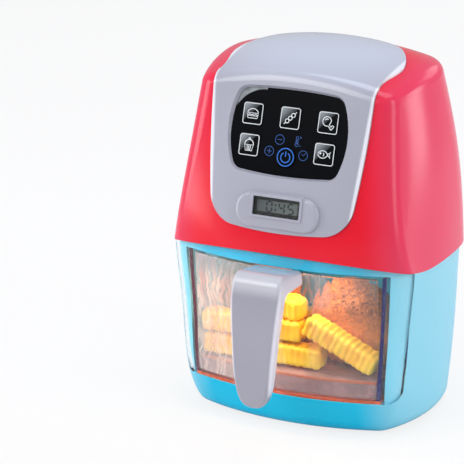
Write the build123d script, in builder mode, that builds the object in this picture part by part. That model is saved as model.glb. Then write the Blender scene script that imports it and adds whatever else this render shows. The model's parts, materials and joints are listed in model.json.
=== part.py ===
from build123d import *
import os
from dataclasses import dataclass
from math import cos, radians, sin, sqrt

# A toy air fryer for a play kitchen. Millimetres, +X to the object's left as it faces the user,
# -Y to the front, +Z up. The origin is under the middle of the whole toy, handle included.

# Overall sizes, and how far the joint of the two housings lies below the top
body_depth = 135.0
handle_reach = 34.0
body_height = 234.4
seam_drop = 127.4
seam_rise = 10.5
seam_bend = 49.0
seam_lead = 6.0
seam_lead_rise = 2.6
sill_height = 23.2
foot_height = 1.0
seam_height = body_height - seam_drop

# Moulded walls, clearances between pieces, and the reach of the tools that cut right through
shell_wall = 2.4
upper_wall = 2.8
clearance = 0.3
screw_clearance = 0.1
form_reach = 100.0

# Roundings of the two housings
front_corner = 13.0
rear_corner = 45.0
rear_bow = 5.0
base_bottom_radius = 11.0
shoulder_radius = 9.0

# Dome over the upper housing
dome_setback = 88.0
dome_front_radius = 188.0
dome_rear_radius = 66.0
dome_cross_radius = 238.0
dome_front_reach = 95.0
dome_rear_reach = 54.0

# Clear drawer front and the flange behind it
window_thickness = 2.4
window_gap = 0.4
window_wrap = 25.4
window_corner = 8.0
window_foot_half = 75.0
flange_wall = 2.4
opening_rise = 0.8
opening_half_top = 70.8
opening_half_sill = 66.4

# Drawer bin and the guides and stop that it runs between
bin_wall = 2.0
bin_half_top = 68.3
bin_half_bottom = 64.0
bin_back_gap = 25.0
bin_corner = 14.0
bin_draft = 3.0
floor_thickness = 2.0
guide_gap = 0.9
guide_lead = 9.0
guide_height = 5.0
stop_length = 40.0

# Crisper rack
rack_height = 11.5
rack_wall = 1.6
rack_side_gap = 1.4
rack_front_gap = 2.4
rack_hole = 6.0
rack_hole_inset = 45.0
rack_pitch = 13.5
rack_columns = 8
rack_rows = 5

# Grey control fascia, from its foot under the display to the back of its crown
fascia_proud = 1.4
fascia_rebate = 1.2
fascia_ledge = 4.5
fascia_foot_drop = 16.25
fascia_bottom_bow = 2.6
fascia_foot_half = 46.8
fascia_waist_half = 52.7
fascia_waist_drop = 21.8
fascia_brow_half = 55.0
fascia_corner = 20.0
fascia_overlap = 4.0
crease_setback = 31.5
ear_hollow_half = 54.5
ear_hollow_setback = 42.0
ear_half = 58.0
ear_setback = 63.0
crown_turn_half = 48.0
crown_turn_setback = 87.5
crown_back_setback = 101.0
crown_depth = 22.0

# Black key panel, set flat in the fascia
panel_tilt = 17.9
panel_setback = 24.5
panel_drop = 35.6
panel_top = 16.4
panel_bottom = 35.6
panel_half_top = 33.5
panel_half_mid = 39.7
panel_half_bottom = 34.0
panel_mid_drop = 7.0
panel_corner = 7.0
panel_bow = 1.2
panel_thickness = 2.0
panel_margin = 2.0
panel_bevel = 28.0
panel_cut_reach = 20.0

# Keys
key_size = 13.6
key_corner = 1.8
key_edge = 0.5
key_pitch = 25.8
key_row_drop = 19.5
key_proud = 0.8
key_flange = 1.2
key_flange_thickness = 0.8
key_travel = 1.2
power_radius = 6.6
power_drop = 24.3

# Mat, circuit board and its bosses behind the panel
mat_thickness = 1.5
board_thickness = 1.6
board_half_width = 49.0
board_boss_radius = 3.2
board_boss_upper_x = 44.5
board_boss_upper_y = 9.0
board_boss_lower_x = 43.6
board_boss_lower_drop = 29.0
board_screw_length = 4.0
chip_places = ((-14.0, -4.0), (16.0, -18.0))
chip_size = (12.0, 12.0)
chip_height = 1.4

# Display and the raised oval boss around it
lcd_tilt = 13.2
lcd_setback = 3.03
lcd_drop = 51.65
lcd_width = 32.0
lcd_tall = 11.6
lcd_corner = 1.6
lcd_glass_corner = 0.8
lcd_frame = 1.7
lcd_frame_proud = 0.8
lcd_frame_edge = 0.5
lcd_sink = 0.5
lcd_lens_margin = 0.9
lcd_lens_thickness = 1.2
lcd_module_thickness = 3.2
display_boss_half = 28.5
display_boss_tall = 22.0
display_boss_round = 10.5
display_boss_drop = 3.0
display_boss_depth = 7.0
display_boss_edge = 2.4
display_boss_skin = 2.0

# Handle: its outline from the front, then its profile from the side
handle_half_crown = 16.2
handle_half_top = 17.0
handle_half_waist = 14.8
handle_waist_height = 68.0
handle_half_calf = 11.6
handle_calf_height = 39.4
handle_half_toe = 8.6
handle_toe_height = 31.2
handle_tip_height = 27.2
handle_corner = 6.0
handle_crown_rise = 6.5
handle_top_rise = 5.5
handle_root_rise = 1.4
handle_root_lip = 3.0
handle_root_drop = 9.0
handle_thickness = 9.2
handle_lean_top = 9.2
handle_lean_mid = 1.9
handle_lean_tip = 0.6
handle_lean_root = 7.2
handle_mid_height = 70.0
handle_edge = 2.6
handle_edge_start = 2.0
handle_shoulder = 8.0
handle_crook = 6.0
handle_margin = 5.0

# Battery bay for three AA cells
cell_diameter = 14.5
cell_length = 50.5
nub_length = 1.2
nub_radius = 2.6
bay_wall = 1.8
bay_setback = 62.0
contact_thickness = 0.6
contact_reach = 1.6
contact_width = 9.0
contact_taper = 12.0
rib_x = 50.0
rib_length = 70.0
door_thickness = 1.2
door_plug = 1.2
door_lip = 3.0
door_rim = 5.6
door_corner = 3.0
door_sink = 0.6
door_head = 0.5
door_screw_length = 14.0
grip_pitch = 5.0
grip_width = 1.6
grip_length = 18.0

# Rubber feet
foot_x = 45.0
foot_inset = 36.0
foot_radius = 6.0
foot_sink = 0.8

# Posts, deck and screws that close the housing
post_radius = 4.6
post_gap = 1.5
post_setback = 56.0
rear_post_x = 54.0
boss_length = 16.0
boss_rib = 16.0
deck_rise = 1.8
deck_thickness = 2.0
screw_radius = 1.5
screw_head_radius = 2.8
screw_head_height = 1.8
screw_length = 14.0
screw_bite = 6.0
small_screw_radius = 1.0
small_head_radius = 2.0
small_head_height = 1.2
handle_screw_x = 8.0
handle_screw_drop = 4.0
handle_screw_bite = 10.0
handle_screw_length = 10.0
handle_screw_seat = 0.2

# Speaker and its grille
speaker_drop = 69.4
speaker_radius = 20.0
speaker_flange = 2.4
speaker_rim = 2.0
speaker_depth = 13.0
speaker_inset = 6.0
speaker_cone = 8.0
magnet_radius = 11.0
grille_hole = 1.6
grille_pitch = 5.6
grille_spokes = 6

# Cavity light
light_y = -5.0
light_length = 40.0
light_width = 14.0
light_corner = 2.0
light_margin = 3.0
light_screw_x = 25.0
lens_thickness = 1.6
led_height = 2.4
led_radius = 1.5
led_pitch = 12.0
led_count = 3

# Play food
fry_thickness = 13.6
fry_pitch = 6.0
fry_ripple = 0.7
food_headroom = 13.0

y_back = (body_depth + handle_reach) / 2
y_front = y_back - body_depth
y_handle = y_front - handle_reach


@dataclass(frozen=True)
class Station:
    """One level of a housing: its height, how far its front and back lie inside the body's
    depth, how the front bows, its half width at the front corner and at the widest, how far
    behind the front it is widest, and how much narrower it is at the rear."""
    height: float
    front: float
    bow: float
    corner: float
    half: float
    back: float
    widest: float = 84.0
    draw: float = 8.0


base_stations = [
    Station(foot_height, 8.5, 0.0036, 62.5, 79.8, 14.0, 72.0, 18.0),
    Station(sill_height, 4.5, 0.0025, 71.8, 79.8, 7.0, 84.0, 12.0),
    Station(sill_height + 29.0, 4.0, 0.0025, 77.0, 81.2, 3.2),
    Station(sill_height + 63.0, 3.6, 0.0025, 80.6, 83.0, 2.3),
    Station(seam_height + 13.0, 3.4, 0.0025, 82.8, 84.8, 1.5),
]
upper_stations = [
    Station(seam_height - 3.0, 1.0, 0.0025, 83.3, 86.2, 0.0),
    Station(body_height - 98.4, 3.2, 0.0021, 75.4, 84.7, 0.4),
    Station(body_height - 66.4, 12.1, 0.0015, 70.2, 81.7, 1.8),
    Station(body_height - 34.4, 22.0, 0.0009, 66.3, 76.8, 5.0),
    Station(body_height + 9.6, 36.9, 0.0002, 61.5, 70.0, 13.0),
]


def body_level(station, grow, drop=0):
    """One level of the housing, grown outwards by grow: a bowed front, rounded corners,
    swelling sides and a broad round back."""
    corner_x = station.corner + grow
    front_y = y_front + station.front - grow
    corner_y = front_y + station.bow * corner_x ** 2
    back_y = y_back - station.back + grow
    rear_x = station.half - station.draw + grow
    widest = (station.half + grow, y_front + station.widest)
    rear_y = back_y - rear_bow
    with BuildSketch(Plane.XY.offset(station.height - drop)) as level:
        with BuildLine():
            ThreePointArc((-corner_x, corner_y), (0, front_y), (corner_x, corner_y))
            ThreePointArc((corner_x, corner_y), widest, (rear_x, rear_y))
            ThreePointArc((rear_x, rear_y), (0, back_y), (-rear_x, rear_y))
            ThreePointArc((-rear_x, rear_y), (-widest[0], widest[1]), (-corner_x, corner_y))
        make_face()
        fillet(level.vertices().filter_by(lambda v: v.Y < 0), front_corner + grow)
        fillet(level.vertices().filter_by(lambda v: abs(v.Y - rear_y) < 0.01), rear_corner + grow)
    return level.sketch


def base_form(grow):
    """The lower housing's outer form, grown by grow, with its rounded bottom edge."""
    with BuildPart() as form:
        loft([body_level(base_stations[0], grow, drop=grow)]
             + [body_level(station, grow) for station in base_stations[1:]])
        fillet(form.edges().group_by(Axis.Z)[0], base_bottom_radius + grow)
    return form.part


def dome(grow):
    """A block whose top falls away from the toy's highest point in every direction."""
    apex_y = y_front + dome_setback
    places = [-dome_front_reach, -dome_front_reach * 2 / 3, -dome_front_reach / 3, 0,
              dome_rear_reach / 2, dome_rear_reach]
    curve = []
    for away in places:
        radius = grow + (dome_front_radius if away < 0 else dome_rear_radius)
        curve.append((apex_y + away, body_height + grow - radius + sqrt(radius ** 2 - away ** 2)))
    with BuildPart() as block:
        for reach in (-form_reach, 0, form_reach):
            drop = reach ** 2 / (2 * dome_cross_radius)
            ridge = [(y, height - drop) for y, height in curve]
            with BuildSketch(Plane.YZ.offset(reach)):
                with BuildLine():
                    Spline(*ridge)
                    Polyline(ridge[-1], (ridge[-1][0], sill_height), (ridge[0][0], sill_height),
                             ridge[0])
                make_face()
        loft()
    return block.part


def upper_form(grow):
    """The upper housing's form, grown by grow, with its rounded shoulder."""
    with BuildPart() as form:
        loft([body_level(station, grow) for station in upper_stations])
        add(dome(grow), mode=Mode.INTERSECT)
        rim = form.edges().filter_by(lambda e: e.center().Z > panel_height - panel_bottom)
        fillet(rim.filter_by(lambda e: abs(e.tangent_at(0.5).Z) < 0.7), shoulder_radius + grow)
    return form.part


def under_seam(gap):
    """Everything below the joint line of the two housings, which curves up over the front."""
    bend_y = y_front + seam_bend
    lead_y = y_front - seam_lead
    side = seam_height - gap
    with BuildPart() as block:
        with BuildSketch(Plane.YZ.offset(-form_reach)):
            with BuildLine():
                rise = TangentArc((bend_y, side), (y_front, side + seam_rise), tangent=(-1, 0))
                Polyline(rise @ 1, (lead_y, side + seam_rise + seam_lead_rise), (lead_y, 0),
                         (form_reach, 0), (form_reach, side), (bend_y, side))
            make_face()
        extrude(amount=2 * form_reach)
    return block.part


window_edge_y = y_front + window_wrap
crease_y = y_front + crease_setback
opening_top = seam_height + opening_rise
bin_low = sill_height + clearance
bin_top = seam_height
bin_back = y_back - bin_back_gap
bin_floor = bin_low + bin_wall
rack_top = bin_floor + rack_height
floor_low = sill_height - floor_thickness
flange_front = window_thickness + window_gap
flange_back = flange_front + flange_wall
deck_height = seam_height + deck_rise
deck_top = deck_height + deck_thickness
head_height = deck_height - screw_bite
panel_height = body_height - panel_drop
lcd_height = panel_height - lcd_drop
fascia_bottom = lcd_height - fascia_foot_drop
speaker_height = body_height - speaker_drop


def tilted(setback, height, tilt):
    """A plane facing the user, leaning back by tilt degrees from upright."""
    facing = (0, -cos(radians(tilt)), sin(radians(tilt)))
    return Plane(origin=(0, y_front + setback, height), x_dir=(1, 0, 0), z_dir=facing)


panel_plane = tilted(panel_setback, panel_height, panel_tilt)
lcd_plane = tilted(lcd_setback, lcd_height, lcd_tilt)


def export(piece, name):
    """Label a finished piece and write it to its own file."""
    piece.part.label = name
    export_step(piece.part, f"parts/{name}.step")


os.makedirs("parts", exist_ok=True)


def front_plane(y):
    """An upright plane facing the user at a given y."""
    return Plane.XZ.offset(-y)


def window_zone(grow):
    """The front block that the clear window fills, with rounded lower corners."""
    sill = bin_low - grow
    half = window_foot_half + grow
    with BuildPart() as zone:
        with BuildSketch(front_plane(window_edge_y + grow)) as face:
            with BuildLine():
                Polyline((-half, sill), (half, sill), (form_reach, body_height),
                         (-form_reach, body_height), close=True)
            make_face()
            fillet(face.vertices().group_by(Axis.Y)[0], window_corner + grow)
        extrude(amount=form_reach)
    return zone.part


side_post_x = bin_half_top + post_gap + post_radius
rear_post_y = bin_back + post_gap + post_radius
post_points = [(side * x, y) for side in (-1, 1)
               for x, y in ((side_post_x, y_front + post_setback), (rear_post_x, rear_post_y))]
foot_points = [(side * foot_x, y) for side in (-1, 1)
               for y in (y_front + foot_inset, y_back - foot_inset)]


def screw(low, length, radius, head_radius, head_height):
    """A pan-headed screw along Z: its head starts at low and its shank is length long."""
    neck = low + head_height
    with BuildPart() as one:
        with BuildSketch(Plane.XZ):
            with BuildLine():
                Polyline((0, low), (head_radius * 0.7, low), (head_radius, low + head_height / 2),
                         (head_radius, neck), (radius, neck), (radius, neck + length - radius),
                         (radius / 3, neck + length), (0, neck + length), close=True)
            make_face()
        revolve(axis=Axis.Z)
    return one.part


# Lower housing: a light blue tub with a double wall at the front, a battery bay and four posts
base_outer = base_form(0)
bay_length = cell_length + 2 * (contact_thickness + contact_reach + clearance)
bay_width = 3 * cell_diameter + 4 * clearance
bay_y = y_front + bay_setback
door_screw_x = bay_length / 2 + door_lip + door_rim


def base_hollow():
    """The room inside the lower housing, which is shallower behind the window's flange."""
    with BuildPart() as hollow:
        add(base_form(-shell_wall))
        with Locations((0, window_edge_y + clearance + shell_wall, 0)):
            Box(3 * form_reach, 3 * form_reach, 4 * form_reach,
                align=(Align.CENTER, Align.MIN, Align.CENTER), mode=Mode.INTERSECT)
        add(base_form(-flange_back))
    return hollow.part


def window_recess():
    """What is cut from the front of the lower housing so that the window lies flush."""
    with BuildPart() as recess:
        add(window_zone(clearance))
        add(base_form(-flange_front), mode=Mode.SUBTRACT)
    return recess.part


def door_outline(grow):
    """The battery door's outline, grown by grow: a rectangle with a tab for its screw."""
    with BuildSketch() as outline:
        with Locations((0, bay_y)):
            RectangleRounded(bay_length + 2 * (door_lip + grow), bay_width + 2 * (door_lip + grow),
                             door_corner + grow)
        with Locations((door_screw_x - door_rim / 2, bay_y)):
            Rectangle(door_rim, 2 * (door_rim + grow))
        with Locations((door_screw_x, bay_y)):
            Circle(door_rim + grow)
    return outline.sketch


with BuildPart() as base_shell:
    add(base_outer)
    add(under_seam(0), mode=Mode.INTERSECT)
    add(window_recess(), mode=Mode.SUBTRACT)
    add(base_hollow(), mode=Mode.SUBTRACT)
    with BuildSketch(front_plane(window_edge_y + flange_back)):
        with BuildLine():
            Polyline((-opening_half_sill, sill_height), (opening_half_sill, sill_height),
                     (opening_half_top, opening_top), (-opening_half_top, opening_top), close=True)
        make_face()
    extrude(amount=form_reach, mode=Mode.SUBTRACT)
    with BuildSketch(Plane.XY.offset(foot_height)):
        with Locations((0, bay_y)):
            Rectangle(bay_length + 2 * bay_wall, bay_width + 2 * bay_wall)
        with Locations((-rib_x, bay_y), (rib_x, bay_y)):
            Rectangle(bay_wall, rib_length)
        with Locations((door_screw_x, bay_y)):
            Circle(post_radius)
    extrude(amount=floor_low - foot_height)
    with BuildSketch(Plane.XY.offset(foot_height)):
        with Locations(*post_points):
            Circle(post_radius)
    extrude(amount=deck_height - foot_height)
    add(base_form(0), mode=Mode.INTERSECT)
    with BuildSketch():
        with Locations((0, bay_y)):
            Rectangle(bay_length, bay_width)
    extrude(amount=floor_low, mode=Mode.SUBTRACT)
    add(door_outline(clearance))
    extrude(amount=foot_height + door_thickness + clearance, mode=Mode.SUBTRACT)
    with BuildSketch():
        with Locations(*post_points):
            Circle(screw_head_radius + clearance)
    extrude(amount=head_height, mode=Mode.SUBTRACT)
    with BuildSketch():
        with Locations(*post_points):
            Circle(screw_radius + screw_clearance)
    extrude(amount=deck_height, mode=Mode.SUBTRACT)
    with BuildSketch():
        with Locations((door_screw_x, bay_y)):
            Circle(screw_radius + screw_clearance)
    extrude(amount=foot_height + door_screw_length, mode=Mode.SUBTRACT)
    with BuildSketch():
        with Locations(*foot_points):
            Circle(foot_radius + clearance)
    extrude(amount=foot_height + foot_sink, mode=Mode.SUBTRACT)
export(base_shell, "base_shell")

with BuildPart() as rubber_feet:
    with BuildSketch():
        with Locations(*foot_points):
            Circle(foot_radius)
    extrude(amount=foot_height + foot_sink)
    chamfer(rubber_feet.faces().group_by(Axis.Z)[0].edges(), foot_height / 2)
export(rubber_feet, "rubber_feet")

# Inner floor that covers the battery bay and guides the drawer
guide_x = bin_half_bottom + guide_gap + bay_wall / 2
guide_front = window_edge_y + guide_lead
with BuildPart() as drawer_floor:
    with BuildSketch(Plane.XY.offset(floor_low)):
        Rectangle(2 * form_reach, 2 * form_reach)
    extrude(amount=floor_thickness)
    add(base_form(-flange_back - clearance), mode=Mode.INTERSECT)
    with BuildSketch(Plane.XY.offset(floor_low)):
        with Locations((-guide_x, guide_front), (guide_x, guide_front)):
            Rectangle(bay_wall, bin_back - bin_corner - guide_front, align=(Align.CENTER, Align.MIN))
        with Locations((0, bin_back + clearance)):
            Rectangle(stop_length, bay_wall, align=(Align.CENTER, Align.MIN))
    extrude(amount=floor_thickness + guide_height)
    with BuildSketch(Plane.XY.offset(floor_low)):
        with Locations(*post_points):
            Circle(post_radius + clearance)
    extrude(amount=deck_height, mode=Mode.SUBTRACT)
export(drawer_floor, "drawer_floor")

# Battery bay: cells, contacts, door and its screw
cell_height = foot_height + door_thickness + door_plug + clearance + cell_diameter / 2
cell_places = [(0, bay_y + step * (cell_diameter + clearance), cell_height) for step in (-1, 0, 1)]

with BuildPart() as battery_door:
    with BuildSketch(Plane.XY.offset(foot_height)):
        add(door_outline(0))
    extrude(amount=door_thickness)
    with BuildSketch(Plane.XY.offset(foot_height + door_thickness)):
        with Locations((0, bay_y)):
            Rectangle(bay_length - 2 * clearance, bay_width - 2 * clearance)
    extrude(amount=door_plug)
    with BuildSketch(Plane.XY.offset(foot_height)):
        with Locations(*[(step * grip_pitch, bay_y) for step in range(-2, 3)]):
            Rectangle(grip_width, grip_length)
    extrude(amount=door_thickness / 2, mode=Mode.SUBTRACT)
    with Locations((door_screw_x, bay_y, foot_height)):
        Hole(screw_radius + screw_clearance)
    with Locations((door_screw_x, bay_y, foot_height)):
        Cylinder(screw_head_radius + clearance, door_sink, mode=Mode.SUBTRACT,
                 align=(Align.CENTER, Align.CENTER, Align.MIN))
export(battery_door, "battery_door")

with BuildPart() as battery_door_screw:
    with Locations((door_screw_x, bay_y, 0)):
        add(screw(foot_height + door_sink - door_head, door_screw_length - door_sink - clearance,
                  screw_radius, screw_head_radius, door_head))
export(battery_door_screw, "battery_door_screw")

with BuildPart() as battery_cells:
    with BuildSketch(Plane.YZ.offset(-cell_length / 2)):
        with Locations(*[(y, z) for x, y, z in cell_places]):
            Circle(cell_diameter / 2)
    extrude(amount=cell_length - nub_length)
    with BuildSketch(Plane.YZ.offset(cell_length / 2 - nub_length)):
        with Locations(*[(y, z) for x, y, z in cell_places]):
            Circle(nub_radius)
    extrude(amount=nub_length)
export(battery_cells, "battery_cells")

contact_x = bay_length / 2 - contact_thickness
with BuildPart() as battery_contacts:
    for side in (-1, 1):
        for x, y, z in cell_places:
            with BuildSketch(Plane.YZ.offset(side * contact_x)):
                with Locations((y, z)):
                    Rectangle(contact_width, contact_width)
            extrude(amount=side * contact_thickness)
            with BuildSketch(Plane.YZ.offset(side * contact_x)):
                with Locations((y, z)):
                    Circle(nub_radius)
            extrude(amount=-side * contact_reach, taper=contact_taper)
export(battery_contacts, "battery_contacts")

# Deck over the drawer, with the warm light that shines down on the food
with BuildPart() as inner_deck:
    with BuildSketch(Plane.XY.offset(deck_height)):
        Rectangle(2 * form_reach, 2 * form_reach)
    extrude(amount=deck_thickness)
    add(base_form(-flange_back - clearance), mode=Mode.INTERSECT)
    with BuildSketch(Plane.XY.offset(deck_height)):
        with Locations(*post_points):
            Circle(screw_radius + screw_clearance)
        with Locations((0, light_y)):
            RectangleRounded(light_length, light_width, light_corner)
        with Locations(*[(side * light_screw_x, light_y) for side in (-1, 1)]):
            Circle(small_screw_radius + screw_clearance)
    extrude(amount=deck_thickness, mode=Mode.SUBTRACT)
export(inner_deck, "inner_deck")


def light_plate(low, thickness):
    """A plate over the deck's light opening, with holes for its two screws."""
    with BuildPart() as plate:
        with BuildSketch(Plane.XY.offset(low)):
            with Locations((0, light_y)):
                RectangleRounded(2 * light_screw_x + 3 * small_head_radius,
                                 light_width + 2 * light_margin, light_corner)
            with Locations(*[(side * light_screw_x, light_y) for side in (-1, 1)]):
                Circle(small_screw_radius + screw_clearance, mode=Mode.SUBTRACT)
        extrude(amount=thickness)
    return plate.part


board_low = deck_top + lens_thickness
with BuildPart() as light_lens:
    add(light_plate(deck_top, lens_thickness))
    with BuildSketch(Plane.XY.offset(deck_height)):
        with Locations((0, light_y)):
            RectangleRounded(light_length - 2 * clearance, light_width - 2 * clearance, light_corner)
    extrude(amount=deck_thickness)
    with BuildSketch(Plane.XY.offset(board_low - led_height - clearance)):
        with Locations((0, light_y)):
            with GridLocations(led_pitch, 0, led_count, 1):
                Circle(led_radius + clearance)
    extrude(amount=led_height + clearance, mode=Mode.SUBTRACT)
export(light_lens, "light_lens")

with BuildPart() as light_board:
    add(light_plate(board_low, board_thickness))
    with BuildSketch(Plane.XY.offset(board_low - led_height)):
        with Locations((0, light_y)):
            with GridLocations(led_pitch, 0, led_count, 1):
                Circle(led_radius)
    extrude(amount=led_height)
export(light_board, "light_board")

with BuildPart() as light_screws:
    for side in (-1, 1):
        with Locations(Location((side * light_screw_x, light_y, 0), (180, 0, 0))):
            add(screw(-board_low - board_thickness - small_head_height,
                      board_low + board_thickness - deck_height,
                      small_screw_radius, small_head_radius, small_head_height))
export(light_screws, "light_screws")

# Upper housing: a red hood with a rebated opening for the fascia and a ring for the speaker
fascia_seat = upper_form(-fascia_rebate)


def fascia_zone(shrink):
    """The room that the fascia fills over the front and the crown, shrunk by shrink."""
    foot = (fascia_foot_half - shrink, fascia_bottom + fascia_bottom_bow + shrink)
    waist = (fascia_waist_half - shrink, panel_height - fascia_waist_drop)
    brow = (fascia_brow_half - shrink, body_height + shoulder_radius)
    with BuildPart() as zone:
        with BuildSketch(front_plane(crease_y + fascia_overlap)) as face:
            with BuildLine():
                ThreePointArc((-foot[0], foot[1]), (0, fascia_bottom + shrink), foot)
                ThreePointArc(foot, waist, brow)
                Line(brow, (-brow[0], brow[1]))
                ThreePointArc((-brow[0], brow[1]), (-waist[0], waist[1]), (-foot[0], foot[1]))
            make_face()
            fillet(face.vertices().group_by(Axis.Y)[0], fascia_corner - shrink)
        extrude(amount=form_reach)
        with BuildSketch(Plane.XY.offset(body_height - crown_depth)):
            with BuildLine():
                Spline((brow[0], crease_y - fascia_overlap),
                       (ear_hollow_half - shrink, y_front + ear_hollow_setback),
                       (ear_half - shrink, y_front + ear_setback),
                       (crown_turn_half - shrink, y_front + crown_turn_setback),
                       (0, y_front + crown_back_setback - shrink), tangents=((0, 1), (-1, 0)))
                mirror(about=Plane.YZ)
                Line((brow[0], crease_y - fascia_overlap), (-brow[0], crease_y - fascia_overlap))
            make_face()
        extrude(amount=2 * crown_depth)
    return zone.part


def fascia_rebate_block():
    """What is cut from the hood around its opening so that the fascia's rim drops in."""
    with BuildPart() as block:
        add(fascia_zone(0))
        add(fascia_seat, mode=Mode.SUBTRACT)
    return block.part


speaker_y = y_back - speaker_inset
side_posts = [point for point in post_points if abs(point[0]) > rear_post_x]
rear_posts = [point for point in post_points if abs(point[0]) <= rear_post_x]


def hood_fittings():
    """The screw bosses with their ribs and the speaker's ring, trimmed inside the hood's wall."""
    with BuildPart() as fittings:
        with BuildSketch(Plane.XY.offset(deck_top)):
            with Locations(*post_points):
                Circle(post_radius)
            for x, y in side_posts:
                with Locations((x * (1 + boss_rib / 2 / abs(x)), y)):
                    Rectangle(boss_rib, bay_wall)
            for x, y in rear_posts:
                with Locations((x, y + boss_rib / 2)):
                    Rectangle(bay_wall, boss_rib)
        extrude(amount=boss_length)
        with BuildSketch(front_plane(y_back)):
            with Locations((0, speaker_height)):
                Circle(speaker_radius + clearance + bay_wall)
        extrude(amount=speaker_inset + speaker_flange)
        add(upper_form(-upper_wall / 2), mode=Mode.INTERSECT)
    return fittings.part


with BuildPart() as upper_shell:
    add(upper_form(0))
    add(under_seam(0), mode=Mode.SUBTRACT)
    add(upper_form(-upper_wall), mode=Mode.SUBTRACT)
    add(fascia_rebate_block(), mode=Mode.SUBTRACT)
    add(fascia_zone(fascia_ledge), mode=Mode.SUBTRACT)
    add(hood_fittings())
    with BuildSketch(front_plane(speaker_y)):
        with Locations((0, speaker_height)):
            Circle(speaker_radius + clearance)
    extrude(amount=2 * speaker_flange, mode=Mode.SUBTRACT)
    with BuildSketch(front_plane(y_back)):
        with Locations((0, speaker_height)):
            Circle(grille_hole)
            for ring in (1, 2):
                with PolarLocations(ring * grille_pitch, ring * grille_spokes):
                    Circle(grille_hole)
    extrude(amount=speaker_inset, mode=Mode.SUBTRACT)
    with BuildSketch(Plane.XY.offset(deck_top)):
        with Locations(*post_points):
            Circle(screw_radius + screw_clearance)
    extrude(amount=screw_length, mode=Mode.SUBTRACT)
export(upper_shell, "upper_shell")

with BuildPart() as housing_screws:
    with Locations(*[(x, y, 0) for x, y in post_points]):
        add(screw(head_height - screw_head_height, screw_length, screw_radius,
                  screw_head_radius, screw_head_height))
export(housing_screws, "housing_screws")

with BuildPart() as speaker:
    with BuildSketch(Plane.YZ):
        with BuildLine():
            Polyline((speaker_y, speaker_height),
                     (speaker_y, speaker_height + speaker_radius),
                     (speaker_y - speaker_flange, speaker_height + speaker_radius),
                     (speaker_y - speaker_flange, speaker_height + speaker_radius - speaker_rim),
                     (speaker_y - speaker_cone, speaker_height + magnet_radius),
                     (speaker_y - speaker_depth, speaker_height + magnet_radius),
                     (speaker_y - speaker_depth, speaker_height), close=True)
        make_face()
    revolve(axis=Axis((0, 0, speaker_height), (0, 1, 0)))
export(speaker, "speaker")

# Grey fascia with its panel opening, display boss and board bosses
boss_points = [(side * x, y) for side in (-1, 1)
               for x, y in ((board_boss_upper_x, board_boss_upper_y),
                            (board_boss_lower_x, -board_boss_lower_drop))]
key_back = panel_thickness + clearance + key_flange_thickness
mat_front = key_back + key_travel + clearance
board_front = mat_front + mat_thickness
lens_back = lcd_sink + lcd_lens_thickness
module_back = lens_back + lcd_module_thickness


def panel_sketch(depth, margin):
    """The key panel's outline at a depth behind its face, grown by margin."""
    half_top = panel_half_top + margin
    half_mid = panel_half_mid + margin
    half_bottom = panel_half_bottom + margin
    top = panel_top + margin
    bottom = -panel_bottom - margin
    with BuildSketch(panel_plane.offset(-depth)) as outline:
        with BuildLine():
            ThreePointArc((-half_top, top - panel_bow), (0, top), (half_top, top - panel_bow))
            ThreePointArc((half_top, top - panel_bow), (half_mid, -panel_mid_drop),
                          (half_bottom, bottom + panel_bow))
            ThreePointArc((half_bottom, bottom + panel_bow), (0, bottom),
                          (-half_bottom, bottom + panel_bow))
            ThreePointArc((-half_bottom, bottom + panel_bow), (-half_mid, -panel_mid_drop),
                          (-half_top, top - panel_bow))
        make_face()
        fillet(outline.vertices(), panel_corner + margin)
    return outline.sketch


def display_boss():
    """The raised oval boss under the panel, hollow behind but for the display's well."""
    with BuildPart() as boss:
        with BuildSketch(lcd_plane.offset(-display_boss_depth)):
            with Locations((0, -display_boss_drop)):
                RectangleRounded(2 * display_boss_half, display_boss_tall, display_boss_round)
        extrude(amount=display_boss_depth)
        front = boss.faces().sort_by(Axis(lcd_plane.origin, lcd_plane.z_dir))[-1]
        fillet(front.edges(), display_boss_edge)
        with BuildSketch(lcd_plane.offset(-display_boss_depth)):
            with Locations((0, -display_boss_drop)):
                RectangleRounded(2 * (display_boss_half - bay_wall), display_boss_tall - 2 * bay_wall,
                                 display_boss_round - bay_wall)
        extrude(amount=display_boss_depth - display_boss_skin, mode=Mode.SUBTRACT)
        with BuildSketch(lcd_plane.offset(-display_boss_depth)):
            RectangleRounded(lcd_width + 2 * (lcd_lens_margin + bay_wall),
                             lcd_tall + 2 * (lcd_lens_margin + bay_wall), lcd_corner)
        extrude(amount=display_boss_depth)
        with BuildSketch(lcd_plane.offset(-display_boss_skin)):
            RectangleRounded(lcd_width + 2 * lcd_frame, lcd_tall + 2 * lcd_frame, lcd_corner)
        extrude(amount=display_boss_skin + lcd_frame_proud)
        frame = boss.faces().sort_by(Axis(lcd_plane.origin, lcd_plane.z_dir))[-1]
        fillet(frame.edges(), lcd_frame_edge)
    return boss.part


def board_bosses():
    """Four bosses that carry the circuit board, grown from the inside of the fascia's skin."""
    with BuildPart() as bosses:
        with BuildSketch(panel_plane.offset(-board_front)):
            with Locations(*boss_points):
                Circle(board_boss_radius)
        extrude(amount=2 * board_front)
        add(upper_form(0), mode=Mode.INTERSECT)
    return bosses.part


def hood_ledge():
    """The hood's room outside its opening, which the fascia's inner parts keep out of."""
    with BuildPart() as ledge:
        add(fascia_seat)
        add(fascia_zone(fascia_ledge + clearance), mode=Mode.SUBTRACT)
    return ledge.part


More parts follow.
